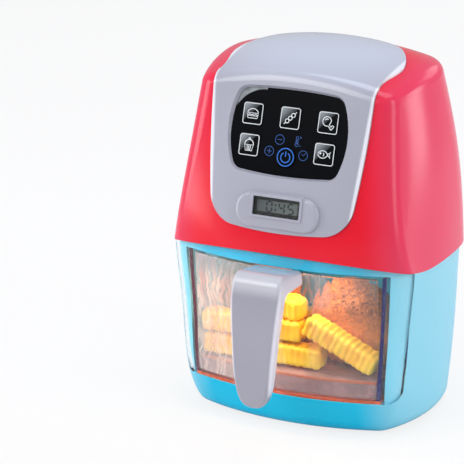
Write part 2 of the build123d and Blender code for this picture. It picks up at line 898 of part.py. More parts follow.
with BuildPart() as control_fascia:
    add(upper_form(fascia_proud))
    add(fascia_zone(clearance), mode=Mode.INTERSECT)
    add(fascia_seat, mode=Mode.SUBTRACT)
    add(display_boss())
    extrude(panel_sketch(0, 0), amount=panel_cut_reach, taper=-panel_bevel, mode=Mode.SUBTRACT)
    add(board_bosses())
    add(hood_ledge(), mode=Mode.SUBTRACT)
    extrude(panel_sketch(0, panel_margin + clearance), amount=-board_front, mode=Mode.SUBTRACT)
    with BuildSketch(panel_plane.offset(-board_front)):
        with Locations(*boss_points):
            Circle(small_screw_radius + screw_clearance)
    extrude(amount=board_screw_length, mode=Mode.SUBTRACT)
    with BuildSketch(lcd_plane.offset(-lcd_sink)):
        RectangleRounded(lcd_width, lcd_tall, lcd_glass_corner)
    extrude(amount=display_boss_depth, mode=Mode.SUBTRACT)
    with BuildSketch(lcd_plane.offset(-display_boss_depth)):
        RectangleRounded(lcd_width + 2 * (lcd_lens_margin + clearance),
                         lcd_tall + 2 * (lcd_lens_margin + clearance), lcd_glass_corner)
    extrude(amount=display_boss_depth - lcd_sink, mode=Mode.SUBTRACT)
export(control_fascia, "control_fascia")

with BuildPart() as lcd_lens:
    with BuildSketch(lcd_plane.offset(-lens_back)):
        RectangleRounded(lcd_width + 2 * lcd_lens_margin, lcd_tall + 2 * lcd_lens_margin,
                         lcd_glass_corner)
    extrude(amount=lcd_lens_thickness)
export(lcd_lens, "lcd_lens")

with BuildPart() as lcd_module:
    with BuildSketch(lcd_plane.offset(-module_back)):
        Rectangle(lcd_width + 2 * lcd_lens_margin, lcd_tall + 2 * lcd_lens_margin)
    extrude(amount=lcd_module_thickness)
export(lcd_module, "lcd_module")

# Key panel, its keys, and the mat and board behind it
square_keys = {
    "key_upper_left": (-key_pitch, 0),
    "key_upper_middle": (0, 0),
    "key_upper_right": (key_pitch, 0),
    "key_lower_left": (-key_pitch, -key_row_drop),
    "key_lower_right": (key_pitch, -key_row_drop),
}

with BuildPart() as key_panel:
    extrude(panel_sketch(0, panel_margin), amount=-panel_thickness)
    with BuildSketch(panel_plane):
        with Locations(*square_keys.values()):
            RectangleRounded(key_size + 2 * clearance, key_size + 2 * clearance,
                             key_corner + clearance)
        with Locations((0, -power_drop)):
            Circle(power_radius + clearance)
    extrude(amount=-panel_thickness, mode=Mode.SUBTRACT)
export(key_panel, "key_panel")


def square_key(place):
    """A square key cap with a rounded face and a flange that keeps it in the panel."""
    with BuildPart() as key:
        with BuildSketch(panel_plane.offset(-key_back)):
            with Locations(place):
                RectangleRounded(key_size + 2 * key_flange, key_size + 2 * key_flange,
                                 key_corner + key_flange)
        extrude(amount=key_flange_thickness)
        with BuildSketch(panel_plane.offset(-key_back + key_flange_thickness)):
            with Locations(place):
                RectangleRounded(key_size, key_size, key_corner)
        extrude(amount=panel_thickness + clearance + key_proud)
        face = key.faces().sort_by(Axis(panel_plane.origin, panel_plane.z_dir))[-1]
        fillet(face.edges(), key_edge)
    return key


for name, place in square_keys.items():
    export(square_key(place), name)

with BuildPart() as power_key:
    with BuildSketch(panel_plane.offset(-key_back)):
        with Locations((0, -power_drop)):
            Circle(power_radius + key_flange)
    extrude(amount=key_flange_thickness)
    with BuildSketch(panel_plane.offset(-key_back + key_flange_thickness)):
        with Locations((0, -power_drop)):
            Circle(power_radius)
    extrude(amount=panel_thickness + clearance + key_proud)
    face = power_key.faces().sort_by(Axis(panel_plane.origin, panel_plane.z_dir))[-1]
    fillet(face.edges(), key_edge)
export(power_key, "power_key")

board_middle = (panel_top - panel_bottom) / 2
board_tall = panel_top + panel_bottom
with BuildPart() as keypad_mat:
    with BuildSketch(panel_plane.offset(-board_front)):
        with Locations((0, board_middle)):
            RectangleRounded(2 * (board_boss_lower_x - board_boss_radius - clearance),
                             board_tall, panel_corner)
    extrude(amount=mat_thickness)
export(keypad_mat, "keypad_mat")

with BuildPart() as circuit_board:
    with BuildSketch(panel_plane.offset(-board_front)):
        with Locations((0, board_middle)):
            Rectangle(2 * board_half_width, board_tall)
        with Locations(*boss_points):
            Circle(small_screw_radius + screw_clearance, mode=Mode.SUBTRACT)
    extrude(amount=-board_thickness)
    with BuildSketch(panel_plane.offset(-board_front - board_thickness)):
        with Locations(*chip_places):
            Rectangle(*chip_size)
    extrude(amount=-chip_height)
export(circuit_board, "circuit_board")

with BuildPart() as board_screws:
    with Locations(*[panel_plane.offset(-board_front - board_thickness).location
                     * Location((x, y, -small_head_height)) for x, y in boss_points]):
        add(screw(0, board_screw_length + board_thickness - clearance,
                  small_screw_radius, small_head_radius, small_head_height))
export(board_screws, "board_screws")

# Drawer: clear window and bin, handle and crisper rack


def bin_form(grow, low, high):
    """The bin's tapering form between two heights, grown by grow and open at the front."""
    with BuildPart() as form:
        levels = []
        for height in (low, high):
            rise = (height - bin_low) / (bin_top - bin_low)
            half = bin_half_bottom + (bin_half_top - bin_half_bottom) * rise + grow
            back = bin_back - bin_draft * (1 - rise) + grow
            with BuildSketch(Plane.XY.offset(height)) as level:
                with Locations((0, back)):
                    Rectangle(2 * half, body_depth, align=(Align.CENTER, Align.MAX))
                fillet(level.vertices().group_by(Axis.Y)[-1], bin_corner + grow)
            levels.append(level.sketch)
        loft(levels)
    return form.part


handle_screw_height = seam_height - handle_screw_drop
handle_screw_points = [(-handle_screw_x, handle_screw_height), (handle_screw_x, handle_screw_height)]
with BuildPart() as drawer_window:
    add(base_outer)
    add(window_zone(0), mode=Mode.INTERSECT)
    add(base_form(-window_thickness), mode=Mode.SUBTRACT)
    add(under_seam(clearance), mode=Mode.INTERSECT)
    with BuildSketch(front_plane(window_edge_y)):
        with Locations(*handle_screw_points):
            Circle(screw_radius + screw_clearance)
    extrude(amount=form_reach, mode=Mode.SUBTRACT)
export(drawer_window, "drawer_window")

with BuildPart() as drawer_bin:
    add(bin_form(0, bin_low, bin_top))
    add(bin_form(-bin_wall, bin_floor, bin_top + bin_wall), mode=Mode.SUBTRACT)
    add(base_form(-window_thickness), mode=Mode.INTERSECT)
export(drawer_bin, "drawer_bin")

with BuildPart() as crisper_rack:
    add(bin_form(-bin_wall - rack_side_gap, bin_floor, rack_top))
    add(base_form(-window_thickness - rack_front_gap), mode=Mode.INTERSECT)
    fillet(crisper_rack.faces().sort_by(Axis.Z)[-1].edges(), rack_wall)


def rack_room():
    """The room under the rack's plate, inside its skirt."""
    with BuildPart() as room:
        add(bin_form(-bin_wall - rack_side_gap - rack_wall, bin_floor - rack_wall, rack_top - rack_wall))
        add(base_form(-window_thickness - rack_front_gap - rack_wall), mode=Mode.INTERSECT)
    return room.part


with crisper_rack:
    add(rack_room(), mode=Mode.SUBTRACT)
    with BuildSketch(Plane.XY.offset(bin_floor)):
        with Locations((0, bin_back - rack_hole_inset)):
            with GridLocations(rack_pitch, rack_pitch, rack_columns, rack_rows):
                Circle(rack_hole / 2)
    extrude(amount=2 * rack_height, mode=Mode.SUBTRACT)
export(crisper_rack, "crisper_rack")

handle_inner_y = y_handle + handle_thickness
handle_top_height = seam_height + handle_top_rise
handle_root_top = seam_height + handle_root_rise
handle_root_bottom = seam_height - handle_root_drop
handle_low = handle_tip_height - handle_margin
with BuildPart() as drawer_handle:
    with BuildSketch(Plane.YZ.offset(-handle_half_top - handle_margin)) as side:
        with BuildLine():
            ThreePointArc((y_handle + handle_lean_top, handle_top_height),
                          (y_handle + handle_lean_mid, handle_mid_height),
                          (y_handle + handle_lean_tip, handle_low))
            Line((y_handle + handle_lean_tip, handle_low),
                 (handle_inner_y + handle_lean_tip, handle_low))
            ThreePointArc((handle_inner_y + handle_lean_tip, handle_low),
                          (handle_inner_y + handle_lean_mid, handle_mid_height),
                          (handle_inner_y + handle_lean_root, handle_root_bottom))
            Polyline((handle_inner_y + handle_lean_root, handle_root_bottom),
                     (window_edge_y, handle_root_bottom),
                     (window_edge_y, handle_root_top - handle_root_lip),
                     (y_front, handle_root_top),
                     (y_handle + handle_lean_top, handle_top_height))
        make_face()
        fillet(side.vertices().group_by(Axis.Y)[-1], handle_shoulder)
        crook = side.vertices().filter_by(lambda v: abs(v.Y - handle_root_bottom) < 0.01)
        fillet(crook.sort_by(Axis.X)[0], handle_crook)
    extrude(amount=2 * (handle_half_top + handle_margin))
    with BuildSketch(front_plane(y_front)) as outline:
        with BuildLine():
            Spline((handle_half_crown, seam_height + handle_crown_rise),
                   (handle_half_top, handle_root_bottom),
                   (handle_half_waist, handle_waist_height),
                   (handle_half_calf, handle_calf_height),
                   (handle_half_toe, handle_toe_height),
                   (0, handle_tip_height), tangents=((0.1, -1), (-1, 0)))
            mirror(about=Plane.YZ)
            Line((-handle_half_crown, seam_height + handle_crown_rise),
                 (handle_half_crown, seam_height + handle_crown_rise))
        make_face()
        fillet(outline.vertices().group_by(Axis.Y)[-1], handle_corner)
    extrude(amount=form_reach, both=True, mode=Mode.INTERSECT)
    fillet(drawer_handle.edges().filter_by(lambda e: e.center().Y < y_front - handle_edge_start),
           handle_edge)
    add(base_outer, mode=Mode.SUBTRACT)
    with BuildSketch(front_plane(window_edge_y)):
        with Locations(*handle_screw_points):
            Circle(screw_radius + screw_clearance)
    extrude(amount=window_wrap + handle_screw_bite, mode=Mode.SUBTRACT)
export(drawer_handle, "drawer_handle")

window_inner_y = y_front + base_stations[-1].front + window_thickness + handle_screw_seat
with BuildPart() as handle_screws:
    for x, z in handle_screw_points:
        with Locations(Location((x, window_inner_y, z), (90, 0, 0))):
            add(screw(-screw_head_height, handle_screw_length, screw_radius, screw_head_radius,
                      screw_head_height))
export(handle_screws, "handle_screws")

# Play food: crinkle-cut fries and two breaded pieces


@dataclass(frozen=True)
class Fry:
    """One fry: its node, where the middle of its length is (to the side, back from the toy's
    front, and up), its length, and how it turns and leans."""
    name: str
    place: tuple
    length: float
    turn: float = 0.0
    lean: float = 0.0


fry_half = fry_thickness / 2 + fry_ripple
layer = [rack_top + clearance + fry_half + step * (2 * fry_half + clearance) for step in range(3)]
fries = [
    Fry("fry_front_low", (-19.0, 24.0, layer[0]), 82.0),
    Fry("fry_front_high", (-27.0, 24.6, layer[1]), 68.0, 2.0),
    Fry("fry_top", (-17.0, 31.0, layer[2]), 48.0, -10.0),
    Fry("fry_leaning", (34.6, 24.6, layer[0] + 11.2), 52.0, 0.0, -25.0),
    Fry("fry_back", (-4.0, 88.0, layer[0]), 70.0, 8.0),
]


def fry_solid(fry):
    """A crinkle-cut stick: rippled above and below, flat at its sides."""
    turn = radians(fry.turn)
    lean = radians(fry.lean)
    along = (cos(turn) * cos(lean), sin(turn) * cos(lean), sin(lean))
    across = (sin(turn), -cos(turn), 0)
    x, setback, height = fry.place
    plane = Plane(origin=(x, y_front + setback, height), x_dir=along, z_dir=across)
    ripples = 2 * round(fry.length / fry_pitch)
    step = fry.length / ripples
    crest = [(-fry.length / 2 + place * step, fry_thickness / 2 + fry_ripple * (-1) ** place)
             for place in range(ripples + 1)]
    with BuildPart() as stick:
        with BuildSketch(plane):
            with BuildLine():
                Spline(*crest)
                Line(crest[-1], (crest[-1][0], -crest[-1][1]))
                Spline(*[(x, -y) for x, y in reversed(crest)])
                Line((crest[0][0], -crest[0][1]), crest[0])
            make_face()
        extrude(amount=fry_thickness / 2, both=True)
    return stick


for fry in fries:
    export(fry_solid(fry), fry.name)

# How a breaded piece swells: pairs of a share of its height and a share of its half width
plump_profile = ((0.0, 0.61), (0.1, 0.92), (0.42, 1.0), (0.74, 0.87), (0.93, 0.53), (1.0, 0.19))


def breaded_piece(x, setback, height, half_length, half_width, lean):
    """A plump breaded piece, lofted through rounded levels that lean to one side."""
    with BuildPart() as piece:
        outlines = []
        for rise, swell in plump_profile:
            with BuildSketch(Plane.XY.offset(rack_top + clearance + rise * height)) as outline:
                with Locations((x + rise * lean, y_front + setback + rise * abs(lean))):
                    Ellipse(swell * half_length, swell * half_width)
            outlines.append(outline.sketch)
        loft(outlines)
    return piece


food_height = bin_top - rack_top - food_headroom
export(breaded_piece(36.0, 50.0, food_height, 26.0, 17.0, -3.0), "chicken_right")
export(breaded_piece(-34.0, 58.0, food_height - 4.0, 25.0, 17.0, 1.0), "chicken_left")
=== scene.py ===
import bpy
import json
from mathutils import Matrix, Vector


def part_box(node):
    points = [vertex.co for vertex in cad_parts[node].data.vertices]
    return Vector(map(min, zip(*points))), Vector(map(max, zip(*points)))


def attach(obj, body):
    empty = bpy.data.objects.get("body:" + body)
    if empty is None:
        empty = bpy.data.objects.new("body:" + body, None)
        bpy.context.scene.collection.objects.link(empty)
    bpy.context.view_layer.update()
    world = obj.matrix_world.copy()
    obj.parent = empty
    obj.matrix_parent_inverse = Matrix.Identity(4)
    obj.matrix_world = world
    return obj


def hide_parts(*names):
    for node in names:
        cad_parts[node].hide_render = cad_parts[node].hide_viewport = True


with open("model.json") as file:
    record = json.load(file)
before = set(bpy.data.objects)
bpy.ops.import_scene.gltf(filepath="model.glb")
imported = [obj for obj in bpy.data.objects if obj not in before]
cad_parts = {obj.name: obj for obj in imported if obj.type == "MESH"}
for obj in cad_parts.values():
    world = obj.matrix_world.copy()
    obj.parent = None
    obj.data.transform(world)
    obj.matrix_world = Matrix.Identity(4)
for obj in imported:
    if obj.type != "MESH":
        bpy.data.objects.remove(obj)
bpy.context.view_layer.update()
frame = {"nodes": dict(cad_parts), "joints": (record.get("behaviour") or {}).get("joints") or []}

import json
import logging
import math
from dataclasses import dataclass, field
from enum import Enum

import bmesh
import bpy
import numpy as np
from mathutils import Matrix, Vector, noise
from mathutils.bvhtree import BVHTree

MM = 0.001
LEVELS = 255.0
FINE_GRAIN = 2600.0
CLOUDS = 40.0
TOUCHING = 1e-6
log = logging.getLogger("toy_air_fryer")

Colour = tuple[float, float, float]
Stroke = list[tuple[float, float]]
Socket = bpy.types.NodeSocket
Material = bpy.types.Material
Mesh = bpy.types.Mesh
WHITE: Colour = (255, 255, 255)


def light(colour: Colour, scale: float = 1.0) -> tuple[float, float, float, float]:
    """Turn display levels into the linear colour that a shader takes.

    Args:
        colour: Red, green and blue from 0 to 255, as seen on a screen.
        scale: How much lighter or darker the result is.

    Returns:
        The linear colour with an alpha of one.
    """
    shares = [level / LEVELS for level in colour]
    linear = [s / 12.92 if s <= 0.04045 else ((s + 0.055) / 1.055) ** 2.4 for s in shares]
    return (*(min(1.0, value * scale) for value in linear), 1.0)


class Tree:
    """Adds and joins nodes in one node tree."""

    grain_band: tuple = (0.3, 0.7)

    def __init__(self, tree: bpy.types.NodeTree) -> None:
        """Start on a tree, emptied of its nodes."""
        self.tree = tree
        self.tree.nodes.clear()

    def add(self, kind: str, inputs: dict | None = None, **settings: object) -> bpy.types.Node:
        """Add one node.

        Args:
            kind: The node's type name.
            inputs: Values or sockets by input name or number.
            settings: Properties set on the node before its inputs.

        Returns:
            The new node.
        """
        made = self.tree.nodes.new(kind)
        for key, value in settings.items():
            setattr(made, key, value)
        for key, value in (inputs or {}).items():
            self.put(made.inputs[key], value)
        return made

    def put(self, socket: Socket, value: object) -> None:
        """Link a socket to another, or give it a plain value.

        Args:
            socket: The input.
            value: What it takes: another socket or a plain value.
        """
        if isinstance(value, Socket):
            self.tree.links.new(value, socket)
        else:
            socket.default_value = value

    def sum(self, operation: str, first: object, second: object = 0.0,
            clamp: bool = False) -> Socket:
        """One step of arithmetic on two numbers or sockets.

        Args:
            operation: The step's name in Blender.
            first: The first number.
            second: The second number, where the step takes one.
            clamp: Whether the result is held between 0 and 1.

        Returns:
            The result's socket.
        """
        made = self.add("ShaderNodeMath", {0: first, 1: second}, operation=operation,
                        use_clamp=clamp)
        return made.outputs[0]

    def plus(self, first: object, second: object) -> Socket:
        """Two numbers added."""
        return self.sum("ADD", first, second)

    def less(self, first: object, second: object) -> Socket:
        """The second number taken from the first."""
        return self.sum("SUBTRACT", first, second)

    def times(self, first: object, second: object, clamp: bool = False) -> Socket:
        """Two numbers multiplied."""
        return self.sum("MULTIPLY", first, second, clamp)

    def most(self, first: object, second: object) -> Socket:
        """The larger of two numbers."""
        return self.sum("MAXIMUM", first, second)

    def size(self, value: object) -> Socket:
        """A number without its sign."""
        return self.sum("ABSOLUTE", value)

    def over(self, first: object, second: object) -> Socket:
        """One where the first number is larger than the second, else nought."""
        return self.sum("GREATER_THAN", first, second)

    def under(self, first: object, second: object) -> Socket:
        """One where the first number is smaller than the second, else nought."""
        return self.sum("LESS_THAN", first, second)

    def lift(self, value: object, slope: float, start: float) -> Socket:
        """A value times a slope, plus a start."""
        return self.plus(self.times(value, slope), start)

    def vector(self, operation: str, first: object, second: object) -> Socket:
        """One step of arithmetic on two vectors."""
        made = self.add("ShaderNodeVectorMath", {0: first, 1: second}, operation=operation)
        return made.outputs["Vector"]

    def span(self, value: object, low: float, high: float, to_low: float = 0.0,
             to_high: float = 1.0) -> Socket:
        """Carry a value from one range smoothly to another, held at its ends.

        Args:
            value: The value.
            low: Where its range starts.
            high: Where its range ends.
            to_low: What it becomes at the start.
            to_high: What it becomes at the end.

        Returns:
            The carried value's socket.
        """
        made = self.add("ShaderNodeMapRange", {"Value": value, "From Min": low, "From Max": high,
                                               "To Min": to_low, "To Max": to_high},
                        interpolation_type="SMOOTHSTEP")
        return made.outputs["Result"]

    def blend(self, factor: object, first: object, second: object) -> Socket:
        """Mix two colours."""
        made = self.add("ShaderNodeMix", {0: factor, 6: first, 7: second}, data_type="RGBA")
        return made.outputs[2]

    def place(self) -> Socket:
        """The place on the object, in metres."""
        return self.add("ShaderNodeTexCoord").outputs["Object"]

    def parts(self) -> tuple[Socket, Socket, Socket]:
        """The place's three coordinates, in metres."""
        split = self.add("ShaderNodeSeparateXYZ", {0: self.place()}).outputs
        return split["X"], split["Y"], split["Z"]

    def grain(self, scale: float, detail: float = 2.0, where: Socket | None = None) -> Socket:
        """A noise from 0 to 1.

        Args:
            scale: How many waves it has in a metre.
            detail: How many finer waves it adds.
            where: The coordinates it follows, or the object's own metres.

        Returns:
            The noise's value.
        """
        if where is None:
            where = self.place()
        made = self.add("ShaderNodeTexNoise", {"Vector": where, "Scale": scale, "Detail": detail})
        return made.outputs[0]

    def waver(self, grain: Socket, middle: float, reach: float) -> Socket:
        """A value that wavers about its middle with a grain."""
        return self.span(grain, *self.grain_band, middle - reach, middle + reach)

    def bump(self, height: object, strength: float, depth: float) -> Socket:
        """A bump normal from a height.

        Args:
            height: The height's pattern, from 0 to 1.
            strength: How much of it shows.
            depth: Its depth in metres.

        Returns:
            The normal.
        """
        made = self.add("ShaderNodeBump", {"Strength": strength, "Distance": depth,
                                           "Height": height})
        return made.outputs["Normal"]

    def surface(self, inputs: dict) -> None:
        """End a material with one principled shader."""
        shader = self.add("ShaderNodeBsdfPrincipled", inputs)
        self.add("ShaderNodeOutputMaterial", {"Surface": shader.outputs[0]})

    def either(self, factor: Socket, first: bpy.types.Node, second: bpy.types.Node,
               end: str = "ShaderNodeOutputMaterial") -> None:
        """End a tree with a mix of two shaders.

        Args:
            factor: The second shader's share.
            first: The first shader.
            second: The second shader.
            end: The kind of the tree's last node.
        """
        mixed = self.add("ShaderNodeMixShader", {0: factor, 1: first.outputs[0],
                                                 2: second.outputs[0]})
        self.add(end, {"Surface": mixed.outputs[0]})


def fresh_material(name: str) -> tuple[Material, Tree]:
    """Start a material.

    Args:
        name: The material's name.

    Returns:
        The material and its empty node tree.
    """
    material = bpy.data.materials.new(name)
    material.use_nodes = True
    return material, Tree(material.node_tree)


@dataclass(frozen=True)
class Moulded:
    """A moulded opaque plastic: mottled, finely grained, with painted highlights at its flanks
    and its top.
    """

    name: str
    colour: Colour
    roughness: float = 0.3
    coat: float = 0.0
    grain: float = 0.06
    shine: float = 0.5
    mottle: float = 0.05
    mottle_scale: float = 22.0
    waver: float = 0.03
    coat_roughness: float = 0.08
    grain_depth: float = 0.1
    flank_highlight: Colour | None = None
    flank_from: float = 64.0
    flank_to: float = 86.0
    flank_lean: float = 0.0
    crown_highlight: Colour | None = None
    crown_from: float = 200.0
    crown_to: float = 220.0

    def painted_highlights(self, tree: Tree, colour: Socket) -> Socket:
        """Blend the colour into painted highlight colours: one toward the top and one toward both
        sides.

        Args:
            tree: The material's nodes.
            colour: The plastic's own colour.

        Returns:
            The blended colour.
        """
        x, _, z = tree.parts()
        # painted highlight: paler toward the top
        if self.crown_highlight is not None:
            share = tree.span(z, self.crown_from * MM, self.crown_to * MM)
            colour = tree.blend(share, colour, light(self.crown_highlight))
        # painted highlight: paler toward both sides
        if self.flank_highlight is not None:
            aside = tree.plus(tree.size(x), tree.times(z, self.flank_lean))
            share = tree.span(aside, self.flank_from * MM, self.flank_to * MM)
            colour = tree.blend(share, colour, light(self.flank_highlight))
        return colour

    def build(self) -> Material:
        """Make the material.

        Returns:
            The finished material.
        """
        material, tree = fresh_material(self.name)
        cloudy = tree.grain(self.mottle_scale, detail=3.0)
        fine = tree.grain(FINE_GRAIN)
        colour = tree.blend(cloudy, light(self.colour, 1.0 - self.mottle),
                            light(self.colour, 1.0 + self.mottle))
        if self.flank_highlight is not None or self.crown_highlight is not None:
            colour = self.painted_highlights(tree, colour)
        tree.surface({
            "Base Color": colour, "Roughness": tree.waver(fine, self.roughness, self.waver),
            "Specular IOR Level": self.shine, "Coat Weight": self.coat,
            "Coat Roughness": self.coat_roughness,
            "Normal": tree.bump(fine, self.grain, self.grain_depth * MM)})
        return material


@dataclass(frozen=True)
class Clear:
    """A clear or smoky plastic that light passes through to what lies behind."""

    name: str
    tint: Colour
    shade: Colour
    roughness: float = 0.02
    index: float = 1.46
    murk: float = 0.0
    deepest: float = 0.985

    def veil(self, tree: Tree) -> tuple[object, Socket]:
        """How milky the plastic is and in what colour, place by place.

        Args:
            tree: The material's nodes.

        Returns:
            The share that blocks light, and the colour.
        """
        cloudy = tree.grain(CLOUDS)
        return self.murk, tree.blend(cloudy, light(self.tint, self.deepest), light(self.tint))

    def build(self) -> Material:
        """Make the material: glass to the eye, and tinted but open to lamps.

        Returns:
            The finished material.
        """
        material, tree = fresh_material(self.name)
        murk, tint = self.veil(tree)
        glass = tree.add("ShaderNodeBsdfPrincipled", {
            "Base Color": tint, "Roughness": self.roughness, "IOR": self.index,
            "Transmission Weight": tree.sum("SUBTRACT", 1.0, murk, clamp=True)})
        open_to_lamps = tree.add("ShaderNodeBsdfTransparent", {"Color": light(self.shade)})
        path = tree.add("ShaderNodeLightPath").outputs
        tree.either(path["Is Shadow Ray"], glass, open_to_lamps)
        return material


@dataclass(frozen=True)
class FlameSkin(Clear):
    """A clear skin whose wavy, upright streaks of painted warm glow thicken toward one side, with
    a painted glow in a wisp.
    """

    pale: Colour = (255, 198, 168)
    warm: Colour = (214, 100, 52)
    dusk_shade: Colour = (150, 110, 114)
    dusk_low: float = 88.0
    dusk_high: float = 104.0
    clear_side: float = 2.0
    milky_side: float = -56.0
    milky_low: float = 62.0
    milky_high: float = 92.0
    milky_foot: float = 0.55
    fringe: float = 0.08
    fringe_low: float = 86.0
    fringe_high: float = 100.0
    thickest: float = 0.66
    wisp: float = 24.0
    wisp_half: float = 13.0
    wisp_core: float = 2.6
    wisp_share: float = 0.6
    wisp_low: float = 78.0
    wisp_high: float = 94.0
    wisp_glow: float = 1.6
    sway: float = 14.0
    sway_scale: float = 60.0
    stretch: float = 0.14
    fine_scale: float = 520.0
    fine_share: float = 0.6
    fine_band: tuple = (0.38, 0.62)
    broad_scale: float = 150.0
    broad_band: tuple = (0.4, 0.64)

    def streaks(self, tree: Tree, x: Socket, z: Socket) -> tuple[Socket, Socket]:
        """The fine and the broad upright streaks, which sway from side to side.

        Args:
            tree: The material's nodes.
            x: The place across the window.
            z: The place's height.

        Returns:
            The fine streaks and the broad ones, each from 0 to 1.
        """
        swing = tree.times(tree.less(tree.grain(self.sway_scale), 0.5), self.sway * MM)
        upright = tree.add("ShaderNodeCombineXYZ", {
            "X": tree.plus(x, swing), "Z": tree.times(z, self.stretch)}).outputs[0]
        fine = tree.span(tree.grain(self.fine_scale, where=upright), *self.fine_band)
        broad = tree.span(tree.grain(self.broad_scale, where=upright), *self.broad_band)
        return fine, broad

    def veil(self, tree: Tree) -> tuple[object, Socket]:
        """The painted glow streaks' share and colour, with painted shade toward the top.

        Args:
            tree: The material's nodes.

        Returns:
            The share that blocks light, and the colour.
        """
        x, _, z = tree.parts()
        fine, broad = self.streaks(tree, x, z)
        side = tree.span(x, self.milky_side * MM, self.clear_side * MM, 1.0, 0.0)
        beside = tree.size(tree.less(x, self.wisp * MM))
        wisp = tree.span(beside, self.wisp_core * MM, self.wisp_half * MM, self.wisp_share, 0.0)
        wisp = tree.times(wisp, tree.span(z, self.wisp_low * MM, self.wisp_high * MM))
        fringe = tree.span(z, self.fringe_low * MM, self.fringe_high * MM, 0.0, self.fringe)
        side = tree.most(tree.most(side, wisp), fringe)
        # painted glow: the wisp takes the warm streak colour
        glow_share = tree.times(wisp, self.wisp_glow, clamp=True)
        height = tree.span(z, self.milky_low * MM, self.milky_high * MM, self.milky_foot, 1.0)
        streaks = tree.times(side, tree.lift(fine, self.fine_share, 1.0 - self.fine_share))
        share = tree.times(tree.times(streaks, height), self.thickest)
        # painted shade: darker mauve toward the top
        dusk_shade = tree.span(z, self.dusk_low * MM, self.dusk_high * MM)
        dusk_shade = tree.times(dusk_shade, tree.less(1.0, glow_share))
        streak = tree.blend(tree.most(broad, glow_share), light(self.pale), light(self.warm))
        streak = tree.blend(dusk_shade, streak, light(self.dusk_shade))
        return share, tree.blend(share, light(self.tint), streak)


@dataclass(frozen=True)
class EdgedBin(Clear):
    """A clear bin whose front rims carry painted shade and whose floor's rim carries a painted
    warm glow.
    """

    right_rim_shade: Colour = (44, 44, 104)
    left_rim_shade: Colour = (96, 30, 56)
    floor_rim_glow: Colour = (226, 104, 64)
    rim_side: float = 61.0
    rim_setback: float = -32.4
    floor_height: float = 25.2
    rim_share: float = 0.9
    floor_share: float = 0.6

    def veil(self, tree: Tree) -> tuple[object, Socket]:
        """The painted rims' share and colour.

        Args:
            tree: The material's nodes.

        Returns:
            The share that blocks light, and the colour.
        """
        x, y, z = tree.parts()
        # painted shade: dark colour on the front rims
        rim = tree.times(tree.over(tree.size(x), self.rim_side * MM),
                         tree.under(y, self.rim_setback * MM))
        # painted glow: warm colour along the floor's rim
        low = tree.under(z, self.floor_height * MM)
        sides = tree.blend(tree.over(x, 0.0), light(self.left_rim_shade), light(self.right_rim_shade))
        edges = tree.blend(low, sides, light(self.floor_rim_glow))
        share = tree.most(tree.times(rim, self.rim_share), tree.times(low, self.floor_share))
        return share, tree.blend(tree.most(rim, low), light(self.tint), edges)


@dataclass(frozen=True)
class SmokyRack(Clear):
    """A smoky clear rack whose rounded top rim has a painted orange glow."""

    rim: Colour = (180, 98, 66)
    rim_low: float = 35.4
    rim_high: float = 36.9
    rim_share: float = 0.5
    smoke_scale: float = 90.0
    smoke_band: tuple = (0.35, 0.65)
    smoke_deep: float = 0.85
    smoke_thin: float = 1.1

    def veil(self, tree: Tree) -> tuple[object, Socket]:
        """The smoke's share and colour, with the rim's painted glow.

        Args:
            tree: The material's nodes.

        Returns:
            The share that blocks light, and the colour.
        """
        _, _, z = tree.parts()
        # painted glow: the top rim takes the orange colour
        rim = tree.times(tree.over(z, self.rim_low * MM), tree.under(z, self.rim_high * MM))
        cloudy = tree.span(tree.grain(self.smoke_scale, detail=3.0), *self.smoke_band)
        smoke = tree.blend(cloudy, light(self.tint, self.smoke_deep),
                           light(self.tint, self.smoke_thin))
        return (tree.lift(rim, self.rim_share, self.murk),
                tree.blend(rim, smoke, light(self.rim)))


@dataclass(frozen=True)
class Cooked:
    """The painted soft plastic of play food: blotches of two tones, over a foot made paler by
    painted light.
    """

    name: str
    colour: Colour
    deep: Colour
    low: Colour
    low_from: float
    low_to: float
    blotch: float
    pore: float
    roughness: float
    relief: float
    softness: float
    depth: float = 2.0
    pore_depth: float = 0.5
    blotch_band: tuple = (0.36, 0.66)
    flesh: tuple = (1.0, 0.6, 0.3)

    def build(self) -> Material:
        """Make the material.

        Returns:
            The finished material.
        """
        material, tree = fresh_material(self.name)
        blotches = tree.span(tree.grain(self.blotch, detail=4.0), *self.blotch_band)
        pores = tree.grain(self.pore, detail=3.0)
        colour = tree.blend(blotches, light(self.deep), light(self.colour))
        # painted light: paler toward the foot
        _, _, z = tree.parts()
        share = tree.span(z, self.low_from * MM, self.low_to * MM)
        tree.surface({
            "Base Color": tree.blend(share, light(self.low), colour),
            "Roughness": self.roughness, "Subsurface Weight": self.softness,
            "Subsurface Scale": self.depth * MM, "Subsurface Radius": self.flesh,
            "Normal": tree.bump(pores, self.relief, self.pore_depth * MM)})
        return material


@dataclass(frozen=True)
class Metal:
    """A plated metal with fine brushing."""

    name: str
    colour: Colour
    roughness: float = 0.3
    brush_scale: float = 900.0
    brush_stretch: float = 12.0
    waver: float = 0.08
    deepest: float = 0.9
    palest: float = 1.05
    brush_band: tuple = (0.2, 0.8)

    def build(self) -> Material:
        """Make the material.

        Returns:
            The finished material.
        """
        material, tree = fresh_material(self.name)
        drawn = tree.add("ShaderNodeMapping", {"Vector": tree.place(),
                                               "Scale": (1.0, self.brush_stretch, 1.0)})
        brushing = tree.grain(self.brush_scale, where=drawn.outputs[0])
        rough = tree.span(brushing, *self.brush_band, self.roughness - self.waver,
                          self.roughness + self.waver)
        colour = tree.blend(brushing, light(self.colour, self.deepest),
                            light(self.colour, self.palest))
        tree.surface({"Base Color": colour, "Roughness": rough, "Metallic": 1.0})
        return material


class Ink(Enum):
    """The inks printed on the panel, the keys and the display."""

    WHITE = (224, 229, 232)
    BLUE = (10, 104, 206)
    DULL_BLUE = (10, 74, 148)
    SEGMENT = (22, 27, 36)


